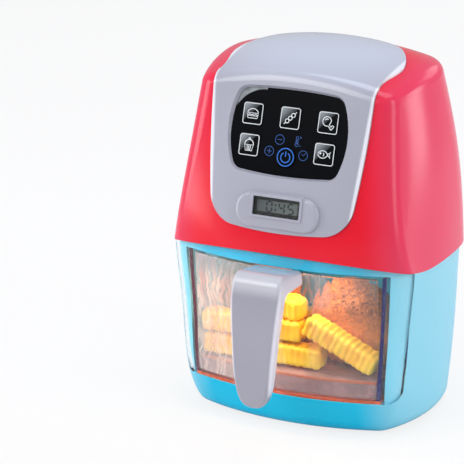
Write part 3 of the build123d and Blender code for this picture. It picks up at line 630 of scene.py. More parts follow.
@dataclass(frozen=True)
class Facet:
    """A flat face of a CAD node: its middle and its three directions."""

    middle: Vector
    across: Vector
    upward: Vector
    outward: Vector

    @classmethod
    def of(cls, node: str, outward: Vector) -> "Facet":
        """Find the face of a node that looks outward, from the frame.

        Args:
            node: The CAD node's name.
            outward: The direction that the face looks in.

        Returns:
            The face, with its middle on its surface.
        """
        outward = outward.normalized()
        across = Vector((1.0, 0.0, 0.0))
        upward = outward.cross(across).normalized()
        points = [vertex.co for vertex in frame["nodes"][node].data.vertices]
        spans = [[point.dot(axis) for point in points] for axis in (across, upward)]
        centre = [(min(span) + max(span)) / 2 for span in spans]
        height = max(point.dot(outward) for point in points)
        middle = across * centre[0] + upward * centre[1] + outward * height
        return cls(middle, across, upward, outward)

    def matrix(self, x: float = 0.0, y: float = 0.0, lift: float = 0.0) -> Matrix:
        """The placement of a drawing in millimetres that lies on the face.

        Args:
            x: How far across the face's middle it lies, in millimetres.
            y: How far up.
            lift: How far out.

        Returns:
            The placement.
        """
        place = self.middle + (self.across * x + self.upward * y + self.outward * lift) * MM
        turn = Matrix((self.across, self.upward, self.outward)).transposed()
        return Matrix.Translation(place) @ turn.to_4x4() @ Matrix.Scale(MM, 4)


def new_piece(name: str, mesh: Mesh, material: Material,
              smooth: bool = True) -> bpy.types.Object:
    """Link a mesh as a finished piece at the origin.

    Args:
        name: The piece's name.
        mesh: Its mesh, already in the frame's place.
        material: The material of every face.
        smooth: Whether its faces are shaded smooth.

    Returns:
        The new object.
    """
    mesh.name = name
    mesh.materials.clear()
    mesh.materials.append(material)
    for face in mesh.polygons:
        face.use_smooth = smooth
        face.material_index = 0
    made = bpy.data.objects.new(name, mesh)
    bpy.context.scene.collection.objects.link(made)
    return made


def settled_mesh(source: bpy.types.Object) -> Mesh:
    """Turn an object into the plain mesh that its modifiers give.

    Args:
        source: The object, which is removed.

    Returns:
        The mesh.
    """
    graph = bpy.context.evaluated_depsgraph_get()
    graph.update()
    mesh = bpy.data.meshes.new_from_object(source.evaluated_get(graph), depsgraph=graph)
    bpy.data.objects.remove(source)
    return mesh


class NodeShape:
    """A Geometry Nodes tree with named inputs, whose result becomes a plain mesh."""

    def __init__(self, name: str, inputs: dict[str, str]) -> None:
        """Open the tree.

        Args:
            name: The tree's name.
            inputs: The socket type of each named input.
        """
        self.group = bpy.data.node_groups.new(name, "GeometryNodeTree")
        self.tree = Tree(self.group)
        sockets = self.group.interface
        sockets.new_socket("Geometry", in_out="OUTPUT", socket_type="NodeSocketGeometry")
        sockets.new_socket("Geometry", in_out="INPUT", socket_type="NodeSocketGeometry")
        for title, kind in inputs.items():
            sockets.new_socket(title, in_out="INPUT", socket_type=kind)
        self.given = self.tree.add("NodeGroupInput")

    def close(self, geometry: Socket) -> None:
        """End the tree with real geometry in the given material.

        Args:
            geometry: What the tree has made.
        """
        real = self.tree.add("GeometryNodeRealizeInstances", {"Geometry": geometry})
        dressed = self.tree.add("GeometryNodeSetMaterial", {
            "Geometry": real.outputs[0], "Material": self.given.outputs["Material"]})
        self.tree.add("NodeGroupOutput", {0: dressed.outputs[0]})

    def grow(self, seedling: Mesh, values: dict[str, object]) -> Mesh:
        """Run the tree on a mesh.

        Args:
            seedling: The mesh that goes in.
            values: The value of each named input.

        Returns:
            The plain mesh that comes out.
        """
        holder = bpy.data.objects.new(self.group.name, seedling)
        bpy.context.scene.collection.objects.link(holder)
        modifier = holder.modifiers.new(self.group.name, "NODES")
        modifier.node_group = self.group
        for item in self.group.interface.items_tree:
            if item.in_out == "INPUT" and item.name in values:
                modifier[item.identifier] = values[item.name]
        return settled_mesh(holder)


class LinePrint(NodeShape):
    """Turns drawn lines into raised ink: a round line along each stroke, pressed flat."""

    nib_sides: int = 8

    def __init__(self) -> None:
        """Build the tree."""
        super().__init__("line_print", {"Width": "NodeSocketFloat", "Height": "NodeSocketFloat",
                                        "Material": "NodeSocketMaterial"})
        tree, given = self.tree, self.given.outputs
        path = tree.add("GeometryNodeMeshToCurve", {"Mesh": given["Geometry"]})
        radius = tree.sum("DIVIDE", given["Width"], 2.0)
        nib = tree.add("GeometryNodeCurvePrimitiveCircle", {"Resolution": self.nib_sides,
                                                             "Radius": radius})
        line = tree.add("GeometryNodeCurveToMesh", {
            "Curve": path.outputs[0], "Profile Curve": nib.outputs[0], "Fill Caps": True})
        flatness = tree.sum("DIVIDE", given["Height"], given["Width"])
        squash = tree.add("ShaderNodeCombineXYZ", {"X": 1.0, "Y": 1.0, "Z": flatness})
        where = tree.add("GeometryNodeInputPosition")
        flat = tree.vector("MULTIPLY", where.outputs[0], squash.outputs[0])
        pressed = tree.add("GeometryNodeSetPosition", {"Geometry": line.outputs[0],
                                                       "Position": flat})
        self.close(pressed.outputs[0])

    def draw(self, strokes: list[Stroke], place: Matrix, ink: Material,
             width: float, height: float) -> Mesh:
        """Print strokes on a face.

        Args:
            strokes: Lines in millimetres; one that ends where it starts is closed.
            place: Where the drawing lies.
            ink: The ink's material.
            width: The line's width in millimetres.
            height: How tall the ink stands, in millimetres.

        Returns:
            The ink's mesh in place.
        """
        drawing = bpy.data.meshes.new("strokes")
        points, edges = [], []
        for stroke in strokes:
            closed = math.dist(stroke[0], stroke[-1]) < TOUCHING
            kept = stroke[:-1] if closed else stroke
            first = len(points)
            points += [(x, y, 0.0) for x, y in kept]
            edges += [(first + i, first + i + 1) for i in range(len(kept) - 1)]
            if closed:
                edges.append((first + len(kept) - 1, first))
        drawing.from_pydata(points, edges, [])
        mesh = self.grow(drawing, {"Width": width, "Height": height, "Material": ink})
        mesh.transform(place)
        return mesh


def arc(x: float, y: float, radius: float, start: float, end: float, steps: int = 14,
        squeeze: float = 1.0) -> Stroke:
    """Points along an arc.

    Args:
        x: The middle's place across.
        y: The middle's place up.
        radius: The arc's radius.
        start: The angle of its first point in degrees.
        end: The angle of its last point.
        steps: How many straight steps it has.
        squeeze: Its height as a share of its width.

    Returns:
        The points.
    """
    angles = [math.radians(start + (end - start) * i / steps) for i in range(steps + 1)]
    return [(x + radius * math.cos(a), y + radius * squeeze * math.sin(a)) for a in angles]


def ring(x: float, y: float, radius: float, steps: int = 28) -> Stroke:
    """A closed circle."""
    points = arc(x, y, radius, 0.0, 360.0, steps)
    return points[:-1] + points[:1]


def rounded_square(half: float, corner: float) -> Stroke:
    """A closed square outline with rounded corners.

    Args:
        half: Half its width.
        corner: Its corners' radius.

    Returns:
        The outline.
    """
    inner = half - corner
    points: Stroke = []
    for quarter, (x, y) in enumerate(((inner, inner), (-inner, inner), (-inner, -inner),
                                      (inner, -inner))):
        points += arc(x, y, corner, 90.0 * quarter, 90.0 * quarter + 90.0, 6)
    return points + points[:1]


def burger() -> list[Stroke]:
    """A bun with its filling.

    Returns:
        The picture's lines in millimetres.
    """
    top = arc(0.0, 0.3, 3.6, 0.0, 180.0, 16, 0.75)
    bottom = [(-3.6, -1.5), (-3.1, -2.9), (3.1, -2.9), (3.6, -1.5), (-3.6, -1.5)]
    leaf = [(-4.0 + i, -0.5 - 0.55 * (i % 2)) for i in range(9)]
    return [top + top[:1], leaf, bottom]


def skewer() -> list[Stroke]:
    """Three pieces of food on a slanted stick.

    Returns:
        The picture's lines in millimetres.
    """
    pieces = [ring(step * 1.9, step * 1.9, 1.25, 16) for step in (-1, 0, 1)]
    return pieces + [[(-4.0, -4.0), (-2.8, -2.8)], [(2.8, 2.8), (4.0, 4.0)]]


def drumstick() -> list[Stroke]:
    """A plump leg with its bone's end.

    Returns:
        The picture's lines in millimetres.
    """
    meat = arc(-0.8, 0.9, 2.9, 10.0, 290.0, 20)
    bone = [(1.0, -1.2), (2.3, -2.4), *arc(3.2, -2.2, 0.8, 150.0, -60.0, 8),
            *arc(2.4, -3.2, 0.8, 10.0, -200.0, 8), (1.3, -3.0), meat[-1]]
    return [meat, [meat[0], (1.0, -1.2)], bone, arc(-0.8, 0.9, 1.5, 60.0, 150.0, 8)]


def cupcake() -> list[Stroke]:
    """A cake in its pleated cup.

    Returns:
        The picture's lines in millimetres.
    """
    icing = arc(0.0, 0.2, 3.0, 0.0, 180.0, 14, 1.05)
    cup = [(-3.0, 0.0), (-2.1, -3.6), (2.1, -3.6), (3.0, 0.0), (-3.0, 0.0)]
    pleats = [[(x, -0.3), (0.7 * x, -3.3)] for x in (-1.2, 0.0, 1.2)]
    return [icing, cup, *pleats, ring(0.0, 3.9, 0.5, 10)]


def fish() -> list[Stroke]:
    """A round fish with a split tail.

    Returns:
        The picture's lines in millimetres.
    """
    back = arc(-1.0, -1.3, 3.6, 25.0, 155.0, 14)
    belly = arc(-1.0, 1.3, 3.6, 205.0, 335.0, 14)
    tail = [(2.3, 0.1), (4.2, 2.0), (3.6, 0.0), (4.2, -2.0), (2.3, -0.1)]
    return [back, belly, tail, ring(-2.6, 0.5, 0.4, 8), arc(-1.6, 0.0, 1.4, -45.0, 45.0, 6)]


@dataclass(frozen=True)
class Lamp:
    """A soft lamp: where it hangs, its width and height in metres, its watts and its aim."""

    name: str
    place: tuple[float, float, float]
    size: tuple[float, float]
    power: float
    colour: Colour = WHITE
    aim: tuple[float, float, float] = (0.0, 0.0, 0.12)

    def hang(self) -> None:
        """Hang the lamp so that it faces its aim."""
        data = bpy.data.lights.new(self.name, "AREA")
        data.shape = "RECTANGLE"
        data.size, data.size_y = self.size
        data.energy = self.power
        data.color = light(self.colour)[:3]
        made = bpy.data.objects.new(self.name, data)
        made.location = self.place
        way = Vector(self.place) - Vector(self.aim)
        made.rotation_mode = "QUATERNION"
        made.rotation_quaternion = way.to_track_quat("Z", "Y")
        bpy.context.scene.collection.objects.link(made)


@dataclass
class Studio:
    """The pale floor, the soft lamps and the camera at the photograph's angle."""

    azimuth: float = 27.73
    elevation: float = 18.47
    roll: float = -0.93
    distance: float = 1.727
    focal_pixels: float = 2800.0
    picture_pixels: float = 464.0
    sensor: float = 36.0
    target: Vector = field(default_factory=lambda: Vector((-0.024, -0.0607, 0.1321)))
    floor_half: float = 6.0
    floor_deep: Colour = (226, 226, 228)
    floor_pale: Colour = (230, 230, 232)
    floor_cloud: float = 3.0
    floor_page: float = 0.8
    even_light: float = 0.5
    page_light: float = 1.0
    lamps: tuple[Lamp, ...] = (
        Lamp("key_lamp", (-1.1, -1.9, 1.6), (1.3, 1.3), 18.0),
        Lamp("side_lamp", (1.9, -0.5, 0.9), (0.7, 1.6), 11.0),
        Lamp("top_lamp", (0.1, 0.2, 1.9), (1.4, 1.0), 14.0, (228, 238, 255)),
        Lamp("back_lamp", (0.6, 2.0, 1.2), (1.4, 0.8), 6.0),
        Lamp("right_band", (0.9, 0.65, 0.34), (0.26, 0.62), 2.6),
        Lamp("left_band", (-0.93, -0.5, 0.32), (0.45, 0.62), 4.0),
    )

    def camera(self) -> None:
        """Place the camera."""
        around, above = math.radians(self.azimuth), math.radians(self.elevation)
        back = Vector((math.sin(around) * math.cos(above), -math.cos(around) * math.cos(above),
                       math.sin(above)))
        right = Vector((math.cos(around), math.sin(around), 0.0))
        turned = (right * math.cos(math.radians(self.roll))
                  + back.cross(right) * math.sin(math.radians(self.roll)))
        data = bpy.data.cameras.new("camera")
        data.sensor_width = self.sensor
        data.lens = self.focal_pixels / self.picture_pixels * self.sensor
        made = bpy.data.objects.new("camera", data)
        turn = Matrix((turned, back.cross(turned), back)).transposed().to_4x4()
        made.matrix_world = Matrix.Translation(self.target + back * self.distance) @ turn
        bpy.context.scene.collection.objects.link(made)
        bpy.context.scene.camera = made

    @staticmethod
    def seen_directly(tree: Tree) -> Socket:
        """One where a ray comes from the camera or through a clear piece."""
        path = tree.add("ShaderNodeLightPath").outputs
        return tree.most(path["Is Camera Ray"], path["Is Transmission Ray"])

    def surroundings(self) -> None:
        """Set the even light all round, which the eye sees as a white page."""
        world = bpy.data.worlds.new("even_light")
        world.use_nodes = True
        tree = Tree(world.node_tree)
        seen = self.seen_directly(tree)
        plain, page = [tree.add("ShaderNodeBackground", {"Color": light(WHITE),
                                                         "Strength": strength})
                       for strength in (self.even_light, self.page_light)]
        tree.either(seen, plain, page, "ShaderNodeOutputWorld")
        bpy.context.scene.world = world

    def floor(self) -> None:
        """Lay the pale floor, which keeps a soft shadow under the object."""
        material, tree = fresh_material("pale_floor")
        paint = tree.blend(tree.grain(self.floor_cloud), light(self.floor_deep),
                           light(self.floor_pale))
        matt = tree.add("ShaderNodeBsdfDiffuse", {"Color": paint})
        page = tree.add("ShaderNodeEmission", {"Color": light(WHITE),
                                               "Strength": self.page_light})
        tree.either(tree.times(self.seen_directly(tree), self.floor_page), matt, page)
        half = self.floor_half
        mesh = bpy.data.meshes.new("floor")
        mesh.from_pydata([(-half, -half, 0), (half, -half, 0), (half, half, 0), (-half, half, 0)],
                         [], [(0, 1, 2, 3)])
        new_piece("floor", mesh, material, smooth=False)

    def build(self) -> None:
        """Set up the whole studio."""
        self.camera()
        for lamp in self.lamps:
            lamp.hang()
        self.surroundings()
        self.floor()
        bpy.context.scene.view_settings.view_transform = "Standard"
        log.info("studio: camera at %.1f degrees round, %.1f above", self.azimuth,
                 self.elevation)


def dress(node: str, material: Material) -> None:
    """Give a CAD node its material.

    Args:
        node: The node's name.
        material: The material of all its faces.
    """
    data = frame["nodes"][node].data
    data.materials.clear()
    data.materials.append(material)
    log.info("dressed %s in %s", node, material.name)


@dataclass
class Housing:
    """The blue tub, the red hood and what they close in."""

    # painted highlight: the blue shell is paler toward its sides
    blue: Moulded = Moulded("blue_shell", (2, 184, 224), 0.24, shine=0.25,
                            flank_highlight=(140, 208, 228), flank_from=48.0, flank_to=80.0)
    # painted highlight: the red shell is paler toward its sides
    red: Moulded = Moulded("red_shell", (230, 6, 40), 0.2, shine=0.35,
                           flank_highlight=(224, 58, 92), flank_from=70.0, flank_to=101.0,
                           flank_lean=0.13)
    rubber: Moulded = Moulded("foot_rubber", (58, 60, 64), 0.75, grain=0.2)
    deck_grey: Moulded = Moulded("deck_grey", (150, 205, 225), 0.4)
    jacket: Moulded = Moulded("cell_jacket", (62, 92, 84), 0.3, coat=0.3)
    green: Moulded = Moulded("board_green", (34, 104, 62), 0.45)
    cone: Moulded = Moulded("speaker_black", (30, 30, 34), 0.6)
    amber: Clear = Clear("amber_clear", (255, 190, 110), (255, 205, 140), roughness=0.3)
    steel: Metal = Metal("screw_steel", (190, 192, 196))
    plate: Metal = Metal("contact_plate", (205, 202, 190), 0.25)
    lamp_colour: Colour = (255, 190, 130)
    lamp_size: tuple = (36.0, 10.0)
    lamp_gap: float = 1.0
    lamp_throw: float = 100.0
    lamp_power: float = 0.036
    fill_colour: Colour = (255, 224, 190)
    fill_size: tuple = (70.0, 5.0)
    fill_power: float = 0.054
    fill_setback: float = 11.0
    fill_drop: float = 8.0
    fill_reach: float = 36.0
    fill_aim: float = 60.0

    def dress(self) -> None:
        """Give every piece of the housing its finish."""
        finishes = {
            "base_shell": self.blue, "upper_shell": self.red, "rubber_feet": self.rubber,
            "drawer_floor": self.blue, "battery_door": self.blue, "inner_deck": self.deck_grey,
            "battery_cells": self.jacket, "battery_contacts": self.plate,
            "battery_door_screw": self.steel, "housing_screws": self.steel,
            "light_screws": self.steel, "board_screws": self.steel,
            "light_lens": self.amber, "light_board": self.green, "circuit_board": self.green,
            "speaker": self.cone,
        }
        made: dict[str, Material] = {}
        for node, finish in finishes.items():
            if finish.name not in made:
                made[finish.name] = finish.build()
            dress(node, made[finish.name])

    def glow(self) -> None:
        """Hang the toy's own warm light: under its lens and behind the window's top."""
        low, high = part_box("light_lens")
        middle = (low + high) / 2
        below = Vector((middle.x, middle.y, low.z - self.lamp_gap * MM))
        under = tuple(below - Vector((0.0, 0.0, self.lamp_throw * MM)))
        Lamp("cavity_light", tuple(below), tuple(side * MM for side in self.lamp_size),
             self.lamp_power, self.lamp_colour, under).hang()
        low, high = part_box("drawer_bin")
        front = Vector((0.0, low.y + self.fill_setback * MM, high.z - self.fill_drop * MM))
        aim = (0.0, front.y + self.fill_reach * MM, self.fill_aim * MM)
        Lamp("cavity_fill", tuple(front), tuple(side * MM for side in self.fill_size),
             self.fill_power, self.fill_colour, aim).hang()


@dataclass
class ControlHead:
    """The grey fascia with its black panel, printed keys and display."""

    body: str = "housing"
    # painted highlights: a pale rim along the fascia's side edges, and paler toward the top
    grey: Moulded = Moulded("grey_shell", (166, 166, 180), 0.22, coat=0.5,
                            flank_highlight=(226, 229, 238), flank_from=33.6, flank_to=35.4,
                            flank_lean=-0.088, crown_highlight=(190, 195, 211), crown_from=217.0,
                            crown_to=234.0)
    rubber: Moulded = Moulded("mat_rubber", (70, 72, 76), 0.7, grain=0.2)
    lens: Clear = Clear("display_clear", (235, 240, 238), WHITE, roughness=0.05)
    print_line: LinePrint = field(default_factory=LinePrint)
    ink_height: float = 0.08
    ink_roughness: float = 0.4
    ink_grain: float = 0.02

    key_half: float = 6.8
    key_corner: float = 1.3
    outline_inset: float = 0.4
    line_width: float = 0.52
    icon_width: float = 0.55
    power_ring: float = 5.5
    power_arc: float = 3.1
    power_width: float = 0.7
    key_black: Colour = (9, 10, 13)
    key_cloud: float = 60.0
    gloss_roughness: float = 0.16
    gloss_waver: float = 0.03
    gloss_shine: float = 0.06
    sheen_grey: Colour = (170, 178, 184)
    sheen_from: float = 1.0
    sheen_edge: float = 2.2
    sheen_end: float = 13.0
    sheen_faint: float = 0.1
    sheen_full: float = 0.75

    panel_black: Colour = (9, 10, 14)
    crescent_highlight: Colour = (172, 179, 184)
    crescent_x: float = -18.2
    crescent_y: float = -6.0
    crescent_radius: float = 21.6
    crescent_edge: float = 0.5
    crescent_low: float = 0.42
    crescent_high: float = 0.62
    crescent_cloud: float = 120.0
    cloud_band: tuple = (0.35, 0.65)
    cloud_tones: tuple = (0.55, 0.9)
    sign_radius: float = 3.0
    sign_width: float = 0.42
    sign_places: tuple = (("minus", -5.6, -13.9), ("thermometer", 6.2, -13.7),
                          ("plus", -11.8, -21.7), ("clock", 11.5, -21.9))

    glass_half: tuple = (0.0143, 0.0041)
    screen_shaded: Colour = (108, 114, 118)
    screen_pale: Colour = (134, 142, 142)
    screen_roughness: float = 0.36
    screen_waver: float = 0.04
    screen_shine: float = 0.3
    edge_shadow_width: float = 0.9
    edge_shadow_core: float = 0.2
    digit_height: float = 7.6
    digit_width: float = 4.7
    digit_places: tuple = (("0", -6.1), ("4", 2.5), ("5", 8.6))
    colon_x: float = -1.8
    colon_rise: float = 1.5
    segment_width: float = 1.25
    segment_gap: float = 0.18
    figures_shift: float = 0.7
    figures_lift: float = 0.05

    def outward(self) -> Vector:
        """The way the panel faces: against the keys' travel."""
        travel = next(j for j in frame["joints"] if j["name"] == "power_key_press")
        return -Vector(travel["axis"])

    @staticmethod
    def local(tree: Tree, face: Facet) -> list[Socket]:
        """A place's two coordinates on a face.

        Args:
            tree: The material's nodes.
            face: The face, whose middle they start from.

        Returns:
            The coordinate across and the coordinate up.
        """
        offset = tree.vector("SUBTRACT", tree.place(), tuple(face.middle))
        return [tree.add("ShaderNodeVectorMath", {0: offset, 1: tuple(axis)},
                         operation="DOT_PRODUCT").outputs["Value"]
                for axis in (face.across, face.upward)]

    def gloss(self, tree: Tree, colour: Socket) -> None:
        """End a material as smooth dark gloss with a printed colour."""
        rough = tree.waver(tree.grain(FINE_GRAIN), self.gloss_roughness, self.gloss_waver)
        tree.surface({"Base Color": colour, "Roughness": rough,
                      "Specular IOR Level": self.gloss_shine})

    def key_finish(self, name: str, face: Facet) -> Material:
        """A gloss black key whose top left corner has a printed pale sheen.

        Args:
            name: The material's name.
            face: The key's face, whose middle the sheen is set from.

        Returns:
            The material.
        """
        material, tree = fresh_material(name)
        across, upward = self.local(tree, face)
        slant = tree.less(upward, across)
        wedge = tree.span(slant, self.sheen_from * MM, self.sheen_edge * MM)
        fade = tree.span(slant, self.sheen_from * MM, self.sheen_end * MM, self.sheen_faint,
                         self.sheen_full)
        self.gloss(tree, tree.blend(tree.times(wedge, fade), light(self.key_black),
                                    light(self.sheen_grey)))
        return material

    def panel_finish(self, face: Facet, rise: float) -> Material:
        """The gloss black panel, with a pale painted reflection highlight in its upper left
        corner.

        Args:
            face: The panel's face.
            rise: How far the keys' upper row lies above the face's middle, in millimetres.

        Returns:
            The material.
        """
        material, tree = fresh_material("panel_black")
        across, upward = self.local(tree, face)
        # painted highlight: a pale crescent in the upper left corner
        radius = self.crescent_radius * MM
        aside = tree.less(across, self.crescent_x * MM)
        above = tree.less(upward, (self.crescent_y + rise) * MM)
        reach = tree.sum("SQRT", tree.plus(tree.times(aside, aside), tree.times(above, above)))
        outside = tree.span(reach, radius, radius + self.crescent_edge * MM)
        left = tree.under(across, self.crescent_x * MM)
        corner = tree.span(above, self.crescent_low * radius, self.crescent_high * radius)
        cloudy = tree.span(tree.grain(self.crescent_cloud), *self.cloud_band, *self.cloud_tones)
        share = tree.times(tree.times(outside, left), tree.times(corner, cloudy))
        self.gloss(tree, tree.blend(share, light(self.panel_black), light(self.crescent_highlight)))
        return material

    def screen_finish(self, screen: Facet, glass: Facet) -> Material:
        """The display's grey ground, with painted shade darker toward its left and a painted
        black shadow along its inner edge.

        Args:
            screen: The display's face.
            glass: The face of the glass over it.

        Returns:
            The material.
        """
        material, tree = fresh_material("display_grey")
        places = self.local(tree, Facet(glass.middle, screen.across, screen.upward,
                                        screen.outward))
        # painted shadow: black along the inner edge, under the bezel
        near_side, near_top = [
            tree.span(tree.size(place), half - self.edge_shadow_width * MM, half - self.edge_shadow_core * MM)
            for place, half in zip(places, self.glass_half)]
        wide = self.glass_half[0]
        # painted shade: darker toward the left
        ground = tree.blend(tree.span(places[0], -wide, wide), light(self.screen_shaded),
                            light(self.screen_pale))
        colour = tree.blend(tree.most(near_side, near_top), ground, light(self.key_black))
        rough = tree.waver(tree.grain(FINE_GRAIN), self.screen_roughness, self.screen_waver)
        tree.surface({"Base Color": colour, "Roughness": rough,
                      "Specular IOR Level": self.screen_shine})
        return material

    def ink(self, ink: Ink) -> Material:
        """The material of an ink."""
        name = f"ink_{ink.name.lower()}"
        return Moulded(name, ink.value, self.ink_roughness, grain=self.ink_grain).build()

    def printed(self, name: str, strokes: list[Stroke], place: Matrix, ink: Material,
                width: float, body: str) -> None:
        """Print strokes as one piece that rides on a body.

        Args:
            name: The piece's name.
            strokes: The lines in millimetres.
            place: Where the drawing lies.
            ink: The ink's material.
            width: The line's width in millimetres.
            body: The body that carries it.
        """
        mesh = self.print_line.draw(strokes, place, ink, width, self.ink_height)
        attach(new_piece(name, mesh, ink), body)
        log.info("printed %s", name)

    def keys(self, white: Material, blue: Material) -> None:
        """Dress the keys and print an outline and a picture on each.

        Args:
            white: The ink of the food keys.
            blue: The ink of the power key.
        """
        pictures = {"key_upper_left": burger, "key_upper_middle": skewer,
                    "key_upper_right": drumstick, "key_lower_left": cupcake,
                    "key_lower_right": fish}
        outline = rounded_square(self.key_half - self.outline_inset, self.key_corner)
        for node, picture in pictures.items():
            face = Facet.of(node, self.outward())
            dress(node, self.key_finish(f"{node}_gloss", face))
            for part, strokes, width in (("outline", [outline], self.line_width),
                                         ("picture", picture(), self.icon_width)):
                self.printed(f"{node}_{part}", strokes, face.matrix(), white, width,
                             f"{node}_body")
        face = Facet.of("power_key", self.outward())
        material, tree = fresh_material("power_key_gloss")
        self.gloss(tree, tree.blend(tree.grain(self.key_cloud), light(self.key_black),
                                    light(self.panel_black)))
        dress("power_key", material)
        symbol = [ring(0.0, 0.0, self.power_ring),
                  arc(0.0, -0.2, self.power_arc, 120.0, 420.0, 24), [(0.0, 0.4), (0.0, 3.6)]]
        self.printed("power_key_symbol", symbol, face.matrix(), blue, self.power_width,
                     "power_key_body")

    def panel(self, blue: Material) -> None:
        """Dress the panel and print the small signs round the power key.

        Args:
            blue: The signs' ink.
        """
        face = Facet.of("key_panel", self.outward())
        middle = Facet.of("key_upper_middle", self.outward()).middle
        rise = (middle - face.middle).dot(face.upward) / MM
        dress("key_panel", self.panel_finish(face, rise))
        around = ring(0, 0, self.sign_radius)
        signs = {
            "minus": [around, [(-1.6, 0.0), (1.6, 0.0)]],
            "plus": [around, [(-1.6, 0.0), (1.6, 0.0)], [(0.0, -1.6), (0.0, 1.6)]],
            "clock": [around, [(-1.1, 1.0), (0.0, -0.2), (1.5, 1.6)]],
            "thermometer": [[(-0.7, -1.2), (-0.7, 2.4), *arc(0.0, 2.4, 0.7, 180.0, 0.0, 6),
                             (0.7, -1.2)], ring(0.0, -2.1, 1.1, 14), [(0.0, -2.0), (0.0, 1.4)],
                            ring(2.2, 2.6, 0.45, 8), [(1.8, -2.6), (2.9, -2.6)]],
        }
        for name, x, y in self.sign_places:
            self.printed(f"panel_{name}", signs[name], face.matrix(x, y + rise), blue,
                         self.sign_width, self.body)

    def digit(self, figure: str, x: float) -> list[Stroke]:
        """The bars of one seven-bar figure, each as a six-sided outline.

        Args:
            figure: The figure to show.
            x: The figure's middle on the display.

        Returns:
            The bars' outlines in millimetres.
        """
        lit = {"0": "abcdef", "4": "bcfg", "5": "acdfg"}[figure]
        w, h, t = self.digit_width / 2, self.digit_height / 2, self.segment_width / 2
        flat = {"a": h - t, "g": 0.0, "d": t - h}
        upright = {"f": (-1, 1), "b": (1, 1), "e": (-1, -1), "c": (1, -1)}
        bars = []
        for name in lit:
            if name in flat:
                y, reach = flat[name], w - t - self.segment_gap
                bars.append([(x - reach, y), (x - reach + t, y + t), (x + reach - t, y + t),
                             (x + reach, y), (x + reach - t, y - t), (x - reach + t, y - t)])
            else:
                side, half = upright[name]
                bx = x + side * (w - t)
                low, high = sorted((half * self.segment_gap, half * (h - t - self.segment_gap)))
                bars.append([(bx, high), (bx + t, high - t), (bx + t, low + t),
                             (bx, low), (bx - t, low + t), (bx - t, high - t)])
        return bars

    def figures(self) -> Mesh:
        """The display's figures and colon as flat bars.

        Returns:
            Their mesh in millimetres, facing upward.
        """
        bars = [bar for figure, x in self.digit_places for bar in self.digit(figure, x)]
        left, right = [self.colon_x + side * self.segment_width / 2 for side in (-1, 1)]
        for middle in (-self.colon_rise, self.colon_rise):
            low, high = [middle + side * self.segment_width / 2 for side in (-1, 1)]
            bars.append([(left, low), (left, high), (right, high), (right, low)])
        points, faces = [], []
        for bar in bars:
            first = len(points)
            points += [(x + self.figures_shift, y, self.figures_lift) for x, y in bar]
            faces.append(tuple(reversed(range(first, first + len(bar)))))
        mesh = bpy.data.meshes.new("display_figures")
        mesh.from_pydata(points, [], faces)
        return mesh

    def display(self) -> None:
        """Dress the display and show a time on it."""
        screen_normal = self.display_normal()
        face = Facet.of("lcd_module", screen_normal)
        dress("lcd_module", self.screen_finish(face, Facet.of("lcd_lens", screen_normal)))
        dress("lcd_lens", self.lens.build())
        mesh = self.figures()
        mesh.transform(face.matrix())
        ink = self.ink(Ink.SEGMENT)
        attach(new_piece("display_figures", mesh, ink, smooth=False), self.body)
        log.info("printed display_figures")

    def display_normal(self) -> Vector:
        """The way the display faces, from the largest flat side of its lens.

        Returns:
            The direction, which points to the front.
        """
        data = frame["nodes"]["lcd_lens"].data
        largest = max(data.polygons, key=lambda face: face.area)
        normal = largest.normal.copy()
        return normal if normal.y < 0 else -normal

    def build(self) -> None:
        """Dress the head and print on it."""
        dress("control_fascia", self.grey.build())
        dress("keypad_mat", self.rubber.build())
        self.keys(self.ink(Ink.WHITE), self.ink(Ink.BLUE))
        self.panel(self.ink(Ink.DULL_BLUE))
        self.display()


